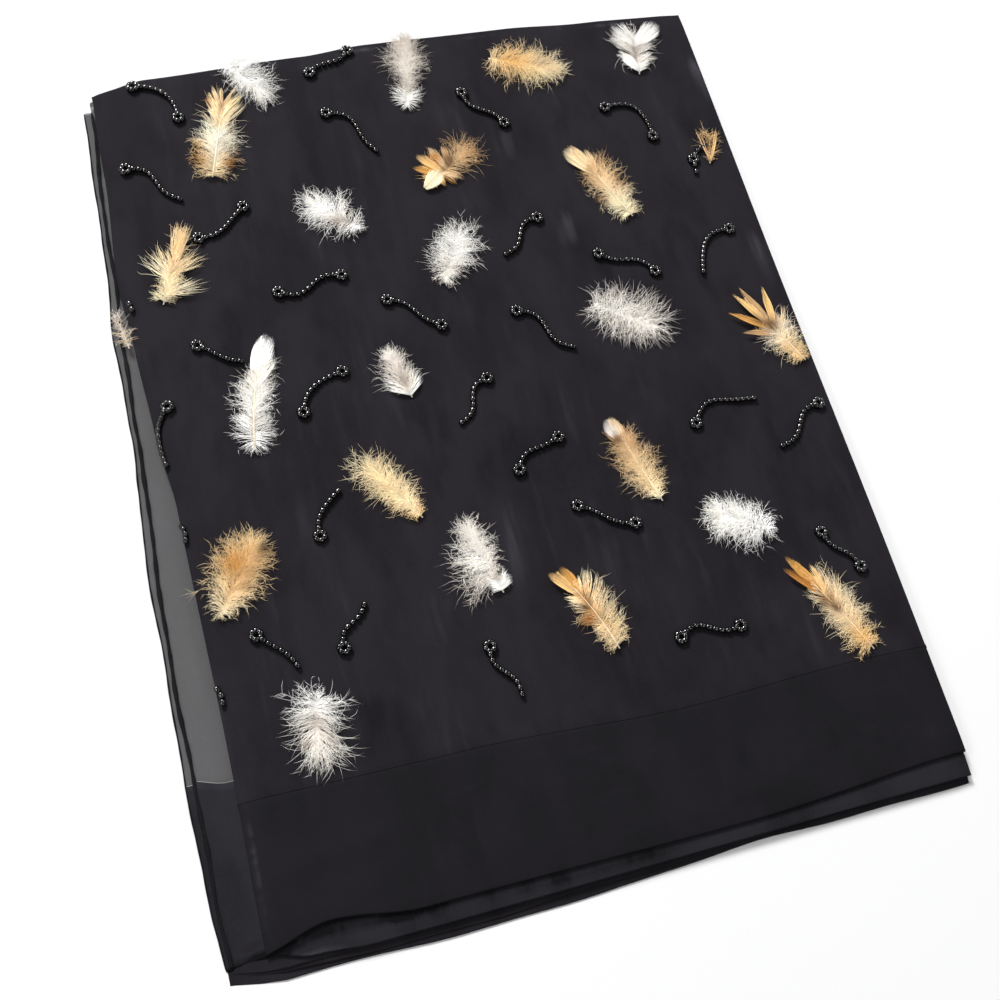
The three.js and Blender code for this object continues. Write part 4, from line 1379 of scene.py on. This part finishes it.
        Stretch(0.74, 38, 6, 7, 0.6, 0.7, TAN, TAN), Stretch(1.0, 24, 2, 2, 0.5, 0.9, SAND, SAND)),
        wisps=40, lift=1.6, shaft=True, blades=(
            Blade(0.64, 14, 17, 9, 0.02, 0.0, PEARL), Blade(0.64, -8, 17, 7, 0.05, 0.05, SAND),
            Blade(0.62, 34, 13, 4, 0.05, 0.05, TAN)), spots=(Spot(36, 3, 2.5, UMBER),
            Spot(30, -4, 2.5, TAN))),
    Feather(-47, -44, 124, 46, (
        Stretch(0.0, 80, 4, 4, 0.5, 0.2, BUFF, GOLD), Stretch(0.2, 66, 9, 9, 0.75, 0.3, CREAM, SAND),
        Stretch(0.5, 54, 11, 13, 0.95, 0.4, BUFF, BUFF), Stretch(0.8, 44, 13, 15, 1.0, 0.6, BUFF, BUFF),
        Stretch(1.0, 32, 13, 13, 1.0, 0.6, BUFF, CREAM)), wisps=50, lift=1.5),
    Feather(117, -86, 152, 37, (
        Stretch(0.0, 168, 5.23, 5.23, 0.6, 0.2, SNOW, SNOW),
        Stretch(0.07, 104, 9.5, 9.5, 0.6, 0.2, SNOW, SNOW),
        Stretch(0.18, 76, 14.56, 12.32, 0.8, 0.3, SNOW, SNOW),
        Stretch(0.55, 60, 15.68, 13.44, 0.9, 0.4, SNOW, WHITE),
        Stretch(0.85, 46, 10.08, 11.2, 0.9, 0.4, WHITE, WHITE),
        Stretch(1.0, 26, 10.08, 7.84, 0.85, 0.4, WHITE, WHITE)), wisps=16, lift=1.7),
    Feather(-146, -71, 54, 45, (
        Stretch(0.0, 168, 3.85, 3.85, 0.6, 0.2, CREAM, BUFF), Stretch(0.06, 96, 7, 7, 0.6, 0.2, CREAM, BUFF),
        Stretch(0.2, 60, 15.12, 12.96, 0.8, 0.2, SAND, BUFF),
        Stretch(0.5, 48, 17.28, 14.04, 0.8, 0.2, GOLD, SAND),
        Stretch(0.8, 40, 15.12, 12.96, 0.75, 0.2, GOLD, SAND),
        Stretch(1.0, 24, 11.88, 9.72, 0.75, 0.2, GOLD, BUFF)), wisps=10, lift=1.8, spacing=0.26,
        spots=(Spot(24, 5, 6, AMBER), Spot(30, -4, 3.5, TAN), Spot(36, -5, 3, UMBER), Spot(22, -3, 2.5, TAN),
               Spot(16, -5, 3, TAN))),
    Feather(-19, -88, 104, 42, (
        Stretch(0.0, 84, 5, 6, 0.12, 0.1, SNOW, SNOW), Stretch(0.12, 60, 6, 7, 0.15, 0.1, SNOW, SNOW),
        Stretch(0.18, 96, 20, 3, 0.95, 0.4, PEARL, ASH), Stretch(0.4, 66, 19, 7, 0.95, 0.4, WHITE, PEARL),
        Stretch(0.7, 46, 13, 11, 0.95, 0.3, WHITE, PEARL), Stretch(1.0, 20, 9, 9, 0.95, 0.3, WHITE, PEARL)),
        wisps=30, lift=1.6),
    Feather(26, -126, 114, 46, (
        Stretch(0.0, 90, 5, 6, 0.6, 0.3, BUFF, SAND), Stretch(0.15, 74, 8, 12, 0.9, 0.5, SAND, BUFF),
        Stretch(0.35, 66, 10, 16, 0.6, 1.0, GOLD, CREAM), Stretch(0.55, 58, 10, 16, 0.4, 1.0, AMBER, CREAM),
        Stretch(0.68, 46, 5, 10, 0.3, 1.0, AMBER, BUFF), Stretch(0.76, 34, 2, 3, 0.2, 1.0, AMBER, SAND),
        Stretch(1.0, 20, 1.5, 1.5, 0.2, 0.9, AMBER, GOLD)),
        bow=-2.0, wisps=30, lift=1.5, shaft=True, blades=(
            Blade(0.62, 17, 18, 6.5, 0.0, 0.1, GOLD), Blade(0.62, -17, 17, 6, 0.0, 0.1, AMBER)),
        spots=(Spot(18, 5, 4, RUST), Spot(23, 2, 2, UMBER), Spot(16, 9, 3, RUST))),
    Feather(146, -154, 117, 55, (
        Stretch(0.0, 98, 7, 7, 0.6, 0.2, SAND, GOLD), Stretch(0.14, 70, 11, 11, 0.9, 0.3, SAND, BUFF),
        Stretch(0.32, 58, 12, 15, 0.9, 0.6, SAND, CREAM), Stretch(0.5, 52, 10, 17, 0.5, 1.0, AMBER, CREAM),
        Stretch(0.64, 42, 7, 13, 0.3, 1.0, RUST, BUFF), Stretch(0.74, 30, 2.5, 4, 0.3, 1.0, RUST, SAND),
        Stretch(1.0, 20, 1.5, 1.5, 0.15, 0.9, RUST, AMBER)),
        bow=-1.0, wisps=60, lift=1.6, shaft=True, blades=(
            Blade(0.58, 19, 23, 4.5, 0.0, 0.1, RUST), Blade(0.60, 5, 25, 5, 0.0, 0.1, AMBER),
            Blade(0.60, -9, 22, 5, 0.0, 0.1, AMBER), Blade(0.54, -26, 19, 4, 0.05, 0.1, GOLD)),
        spots=(Spot(6, 0, 5, GOLD), Spot(24, 0, 2.5, UMBER), Spot(30, 3, 2.5, UMBER))),
    Feather(-113, -119, -104, 36, (
        Stretch(0.0, 168, 5.5, 5.5, 0.7, 0.15, SNOW, SNOW),
        Stretch(0.08, 112, 10, 10, 0.7, 0.15, SNOW, SNOW),
        Stretch(0.22, 90, 13.2, 14.3, 0.85, 0.15, SNOW, SNOW),
        Stretch(0.45, 70, 13.2, 12.1, 0.6, 0.9, ASH, WHITE),
        Stretch(0.7, 50, 17.6, 13.2, 0.8, 0.9, PEARL, WHITE),
        Stretch(1.0, 28, 15.4, 13.2, 0.9, 0.9, PEARL, WHITE)), wisps=60, lift=1.7,
        spots=(Spot(19, 6, 2.5, ASH), Spot(20, -4, 2.5, ASH))),
    Feather(-162.6, 72, 100, 25, (
        Stretch(0.0, 60, 6, 5, 1.0, 0.3, PEARL, SAND), Stretch(1.0, 40, 6, 5, 1.0, 0.3, ASH, PEARL)),
        wisps=16, lift=0.1, spacing=1.6),
)
SLOTS = {
    "white_feather": (2, 3, 5, 9, 10, 12, 14, 15, 18, 20, 23),
    "tan_feather": (4, 6, 8, 11, 16, 24),
    "golden_feather": (1, 7, 13, 17, 19, 21, 22),
}


# ---------- beads ----------
class Strand(NamedTuple):
    """A sewn row of beads, with a rosette at either end where it has one."""

    x: float
    y: float
    heading: float
    length: float
    bow: float
    sway: float
    first: bool
    last: bool


STRANDS = (
    Strand(-135, 220, -50, 30, 7, 0, True, True), Strand(-43, 215, 27, 26, -1, 1.5, True, True),
    Strand(-147, 170, -44, 32, 2.5, 2.5, True, False), Strand(-40, 188, -53, 34, 4.5, 2.5, True, False),
    Strand(35, 190, -52, 29, -2, -2, True, True), Strand(111, 168, -47, 31, 10, 1, True, True),
    Strand(150, 127, -98, 8, 0, 0, True, False), Strand(-94, 138, -150, 29, 3.5, -1, True, True),
    Strand(-87, 86, 7, 33, -1.5, -3, True, True), Strand(-35, 72, -39, 30, 1, 1.5, True, True),
    Strand(54, 106, -140, 29, -1, -2.5, True, False), Strand(80, 79, -30, 31, 1.5, -2, True, True),
    Strand(155, 81, -135, 32, -7, -1, True, False), Strand(28, 54, -48, 34, 1, 3, True, False),
    Strand(-131, 64, -33, 22, -1, 0.5, True, False), Strand(-66, 37, -142, 29, -5, 0.5, True, True),
    Strand(3, 20, -131, 28, -1, -2.5, True, False), Strand(100, -25, 12, 35, 6.5, 2, True, False),
    Strand(167, -27, -145, 33, -0.5, -2.5, True, False), Strand(-150.5, 35, -102, 29, -4, -0.5, True, False),
    Strand(29, -18, -151, 27, -3, 1.5, True, True), Strand(-82, -24, -123, 24, -3.5, 0.5, False, True),
    Strand(28, -55, -30, 29, -1.5, 1, True, True), Strand(143, -94, -58, 25, -0.5, -1.5, True, True),
    Strand(57, -129, -2, 30, 2, 2.5, True, True), Strand(-83, -81, -127, 22, -2, 1.5, False, True),
    Strand(-133, -84, -50, 23, 1, -0.5, True, False), Strand(-32, -113, -71, 26, -1, -2, True, False),
)
LOOSE_BEADS = (
    Strand(-155.2, -25, -86, 7.5, 0.6, 0, False, False), Strand(-154.2, -104, -80, 6.5, 0.6, 0, False, False),
    Strand(-158.2, 94.5, -80, 3.4, 0, 0, False, False), Strand(152, 130, 30, 9, 1.0, 0, False, False),
)


@dataclass(frozen=True)
class Bead:
    """A short glass tube bead with round shoulders."""

    length: float = 2.85
    radius: float = 1.35
    hole: float = 0.35
    sides: int = 8

    def build(self, name: str) -> bpy.types.Object:
        """Makes the bead along Z, to be repeated along the strands."""
        half, wide = self.length / 2, self.radius
        profile = ((self.hole, -half), (0.66 * wide, -half), (0.90 * wide, -0.8 * half), (wide, -0.38 * half),
                   (wide, 0.38 * half), (0.90 * wide, 0.8 * half), (0.66 * wide, half), (self.hole, half))
        angle = np.linspace(0, 2 * math.pi, self.sides, endpoint=False)
        points = np.array([[r * math.cos(a), r * math.sin(a), z] for r, z in profile for a in angle])
        rings, faces = len(profile), []
        for ring in range(rings):
            onward = (ring + 1) % rings
            for k in range(self.sides):
                beyond = (k + 1) % self.sides
                faces.append((ring * self.sides + k, ring * self.sides + beyond,
                              onward * self.sides + beyond, onward * self.sides + k))
        mesh = bpy.data.meshes.new(name)
        mesh.from_pydata([tuple(p * MM) for p in points], [], faces)
        mesh.polygons.foreach_set("use_smooth", [True] * len(faces))
        return bpy.data.objects.new(name, mesh)


class Threaded:
    """A node tree that repeats a small form along a path."""

    def __init__(self, name: str, finish: bpy.types.Material) -> None:
        """Builds the tree, which ends in that material."""
        tree = bpy.data.node_groups.new(name, "GeometryNodeTree")
        self.tree = tree
        self._socket("Path", "Geometry")
        self.form = self._socket("Form", "Object")
        self.pitch = self._socket("Pitch", "Float")
        self.vary = self._socket("Size Variation", "Float")
        self._socket("Row", "Geometry", "OUTPUT")
        given = self._add("NodeGroupInput")
        curve = self._add("GeometryNodeMeshToCurve", {}, {"Mesh": given.outputs["Path"]})
        row = self._add("GeometryNodeResampleCurve", {"mode": "LENGTH"},
                        {"Curve": curve.outputs["Curve"], "Length": given.outputs["Pitch"]})
        heading = self._add("GeometryNodeInputTangent")
        turn = self._add("FunctionNodeAlignRotationToVector", {"axis": "Z"}, {"Vector": heading.outputs[0]})
        form = self._add("GeometryNodeObjectInfo", {}, {"Object": given.outputs["Form"]})
        about = {0: 1.0, 1: given.outputs["Size Variation"]}
        least = self._add("ShaderNodeMath", {"operation": "SUBTRACT"}, about)
        most = self._add("ShaderNodeMath", {"operation": "ADD"}, about)
        size = self._add("FunctionNodeRandomValue", {"data_type": "FLOAT"},
                         {2: least.outputs[0], 3: most.outputs[0], "Seed": 7})
        placed = self._add("GeometryNodeInstanceOnPoints", {}, {
            "Points": row.outputs["Curve"], "Instance": form.outputs["Geometry"],
            "Rotation": turn.outputs["Rotation"], "Scale": size.outputs[1]})
        real = self._add("GeometryNodeRealizeInstances", {}, {"Geometry": placed.outputs["Instances"]})
        dressed = self._add("GeometryNodeSetMaterial", {},
                            {"Geometry": real.outputs["Geometry"], "Material": finish})
        self._add("NodeGroupOutput", {}, {"Row": dressed.outputs["Geometry"]})

    def _socket(self, name: str, kind: str, way: str = "INPUT") -> str:
        """Adds a socket to the tree's interface and gives its identifier."""
        made = self.tree.interface.new_socket(name, in_out=way, socket_type=f"NodeSocket{kind}")
        return made.identifier

    def _add(self, kind: str, settings: dict[str, object] | None = None,
             inputs: dict[int | str, object] | None = None) -> bpy.types.Node:
        """Adds a node with its settings, then its inputs."""
        return add_node(self.tree, kind, settings or {}, inputs or {})

    def row(self, path: Array, closed: bool, form: bpy.types.Object, pitch: float,
            vary: float) -> bpy.types.Mesh:
        """Runs the tree on one path.

        Args:
            path: Its points, in millimetres.
            closed: Whether its end joins its start.
            form: What is repeated.
            pitch: The distance from one to the next, in millimetres.
            vary: How far sizes differ from 1.

        Returns:
            A plain mesh of the row.
        """
        mesh = bpy.data.meshes.new("path")
        count = len(path)
        edges = [(k, (k + 1) % count) for k in range(count if closed else count - 1)]
        mesh.from_pydata([tuple(p * MM) for p in path], edges, [])
        carrier = bpy.data.objects.new("path", mesh)
        bpy.context.collection.objects.link(carrier)
        modifier = carrier.modifiers.new("row", "NODES")
        modifier.node_group = self.tree
        modifier[self.form] = form
        modifier[self.pitch] = pitch * MM
        modifier[self.vary] = vary
        carrier.update_tag()
        ready = carrier.evaluated_get(bpy.context.evaluated_depsgraph_get())
        made = bpy.data.meshes.new_from_object(ready)
        carrier.modifiers.clear()
        bpy.data.objects.remove(carrier)
        return made


def gather(name: str, meshes: Sequence[bpy.types.Mesh], finish: bpy.types.Material) -> bpy.types.Object:
    """Joins plain meshes into one piece."""
    parts = Parts()
    for mesh in meshes:
        points = np.empty(len(mesh.vertices) * 3, np.float32)
        mesh.vertices.foreach_get("co", points)
        corners = np.array([tuple(p.vertices) for p in mesh.polygons if len(p.vertices) == 4])
        threes = np.array([tuple(p.vertices) for p in mesh.polygons if len(p.vertices) == 3])
        parts.add(points.reshape(-1, 3) / MM, corners, threes)
        bpy.data.meshes.remove(mesh)
    return parts.piece(name, finish)


@dataclass(frozen=True)
class Beadwork:
    """The strands of beads and their rosettes."""

    pitch: float = 2.85
    ring_radius: float = 2.1
    ring_pitch: float = 2.5
    ring_gap: float = 1.6
    rest: float = 1.35
    vary: float = 0.06
    ring_vary: float = 0.07

    def _on_cloth(self, x: Array, y: Array) -> Array:
        """Points on the cloth where a bead's middle lies."""
        on_top = STACK.upper_top(x, y)
        beside = STACK.under_top(x, y)
        top = np.where(x > follow(UPPER_FOLD, y) + 0.5, on_top, beside)
        return np.stack([x, y, top + self.rest], axis=1)

    def _line(self, strand: Strand) -> Array:
        """The middle of a strand's row."""
        s = np.linspace(0, 1, 40)
        turn = math.radians(strand.heading)
        side = strand.bow * 4 * s * (1 - s) + strand.sway * np.sin(2 * math.pi * s)
        ahead = s * strand.length
        return self._on_cloth(strand.x + ahead * math.cos(turn) - side * math.sin(turn),
                              strand.y + ahead * math.sin(turn) + side * math.cos(turn))

    def _ring(self, centre: Array, phase: float) -> Array:
        """The middle of a rosette's ring."""
        angle = np.linspace(0, 2 * math.pi, 24, endpoint=False) + phase
        return self._on_cloth(centre[0] + self.ring_radius * np.cos(angle),
                              centre[1] + self.ring_radius * np.sin(angle))

    def build(self, glass: bpy.types.Material) -> list[bpy.types.Object]:
        """Makes every strand."""
        rows = Threaded("beads_on_thread", glass)
        long_bead = Bead().build("long_bead_form")
        round_bead = Bead(length=2.6, radius=1.5).build("round_bead_form")
        for form in (long_bead, round_bead):
            bpy.context.collection.objects.link(form)
        made = []
        for number, strand in enumerate(STRANDS, 1):
            name = f"bead_strand_{number:02d}"
            made.append(self._strand(f"{name}_glass", strand, rows, (long_bead, round_bead), glass))
            dress(made[-1], name)
        loose = [rows.row(self._line(s), False, long_bead, self.pitch, self.vary) for s in LOOSE_BEADS]
        made.append(gather("bead_fragments_glass", loose, glass))
        dress(made[-1])
        for form in (long_bead, round_bead):
            bpy.data.objects.remove(form)
        return made

    def _strand(self, name: str, strand: Strand, rows: Threaded,
                forms: tuple[bpy.types.Object, bpy.types.Object],
                glass: bpy.types.Material) -> bpy.types.Object:
        """One strand: its row between the rosettes, then the rosettes."""
        line = self._line(strand)
        steps = np.linalg.norm(np.diff(line, axis=0), axis=1)
        run = np.concatenate([[0], np.cumsum(steps)])
        clear = self.ring_radius + self.ring_gap
        low = clear if strand.first else 0.0
        high = run[-1] - (clear if strand.last else 0.0)
        where = np.linspace(low, high, 40)
        inner = np.stack([np.interp(where, run, line[:, k]) for k in range(3)], axis=1)
        meshes = [rows.row(inner, False, forms[0], self.pitch, self.vary)]
        for wanted, end in ((strand.first, line[0]), (strand.last, line[-1])):
            if wanted:
                ring = self._ring(end, strand.heading)
                meshes.append(rows.row(ring, True, forms[1], self.ring_pitch, self.ring_vary))
        return gather(name, meshes, glass)


# ---------- table, lights and camera ----------
class Lamp(NamedTuple):
    """A round soft light that faces the stole."""

    name: str
    place: tuple[float, float, float]
    size: float
    watts: float


@dataclass(frozen=True)
class Studio:
    """The pale table, the soft lights and the camera, in metres, watts and degrees."""

    table_half: float = 4000.0
    room_light: float = 0.14
    lamps: tuple[Lamp, ...] = (
        Lamp("key", (-0.9, 3.3, 2.7), 1.3, 236.0), Lamp("left_box", (-1.7, 0.1, 1.5), 0.7, 11.0),
        Lamp("right_box", (1.6, 0.9, 1.6), 0.7, 8.0), Lamp("near_box", (0.5, -1.7, 1.9), 0.9, 10.0),
    )
    lens: float = 48.6
    place: tuple[float, float, float] = (-0.1563, -0.2576, 0.5965)
    roll: float = -34.79
    tilt: float = 23.83
    swing: float = 20.93

    def _table(self, finish: bpy.types.Material) -> None:
        """Makes the table's flat surface."""
        places = np.linspace(-self.table_half, self.table_half, 9)
        x, y = np.meshgrid(places, places)
        points = np.stack([x.ravel(), y.ravel(), np.zeros(x.size)], axis=1)
        make_piece("table", points, [grid_quads(9, 9)], finish)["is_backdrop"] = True

    @staticmethod
    def _light(lamp: Lamp) -> None:
        """Adds one lamp."""
        light = bpy.data.lights.new(lamp.name, "AREA")
        light.shape, light.size, light.energy = "DISK", lamp.size, lamp.watts
        holder = bpy.data.objects.new(lamp.name, light)
        holder.location = lamp.place
        holder.rotation_euler = (-Vector(lamp.place)).to_track_quat("-Z", "Y").to_euler()
        bpy.context.collection.objects.link(holder)

    def build(self, finish: bpy.types.Material) -> None:
        """Sets up the surface, world, lights and camera."""
        self._table(finish)
        world = bpy.data.worlds.new("soft_room")
        world.use_nodes = True
        background = world.node_tree.nodes["Background"].inputs
        background["Color"].default_value = (1.0, 1.0, 1.0, 1.0)
        background["Strength"].default_value = self.room_light
        bpy.context.scene.world = world
        for lamp in self.lamps:
            self._light(lamp)
        camera = bpy.data.cameras.new("camera")
        camera.lens, camera.sensor_width = self.lens, 36.0
        camera.clip_start = 0.01
        holder = bpy.data.objects.new("camera", camera)
        turn = Matrix.Identity(4)
        for degrees, axis in ((self.roll, "Z"), (self.tilt, "X"), (self.swing, "Z")):
            turn = turn @ Matrix.Rotation(math.radians(degrees), 4, axis)
        holder.matrix_world = Matrix.Translation(self.place) @ turn
        bpy.context.collection.objects.link(holder)
        bpy.context.scene.camera = holder
        bpy.context.scene.view_settings.view_transform = "Standard"


def main(before: Sequence[Vector]) -> None:
    """Builds the stole, then the table, lights and camera.

    Args:
        before: The frame's own box; not used.
    """
    silk = Silk("black_silk", "242226", "1b191d", "363339").build()
    band = Silk("band_silk", "1e1c20", "18171a", "2a282d", streaks=0.25, lengthwise=False).build()
    sheer = Silk("sheer_silk", "25242a", "1c1c1f", "44424a", highlight_show_through="8b8992", streaks=0.4, opacity=0.42).build()
    strip_band = Silk("strip_band_silk", "29282d", "1e1d20", "38363d", streaks=0.3, opacity=0.97,
                      lengthwise=False).build()
    hem = Silk("hem_silk", "19191b", "131314", "3c3b41", streaks=0.3, opacity=0.93).build()
    pieces = HiddenFolds().build(silk)
    pieces += UnderPly().build(sheer, strip_band, hem)
    pieces += UpperPly().build(silk, band)
    plumage = Plumage().build()
    slots = {number: slot for slot, numbers in SLOTS.items() for number in numbers}
    for number, feather in enumerate(FEATHERS, 1):
        pieces.append(feather.build(number, plumage, slots[number]))
    pieces += Beadwork().build(BlackGlass().build())
    for piece in pieces:
        LOG.info("%s: %d faces", piece.name, len(piece.data.polygons))
    LOG.info("whole object: %d faces", sum(len(piece.data.polygons) for piece in pieces))
    Studio().build(PaleTable().build())


if __name__ == "__main__":
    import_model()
    main(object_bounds())
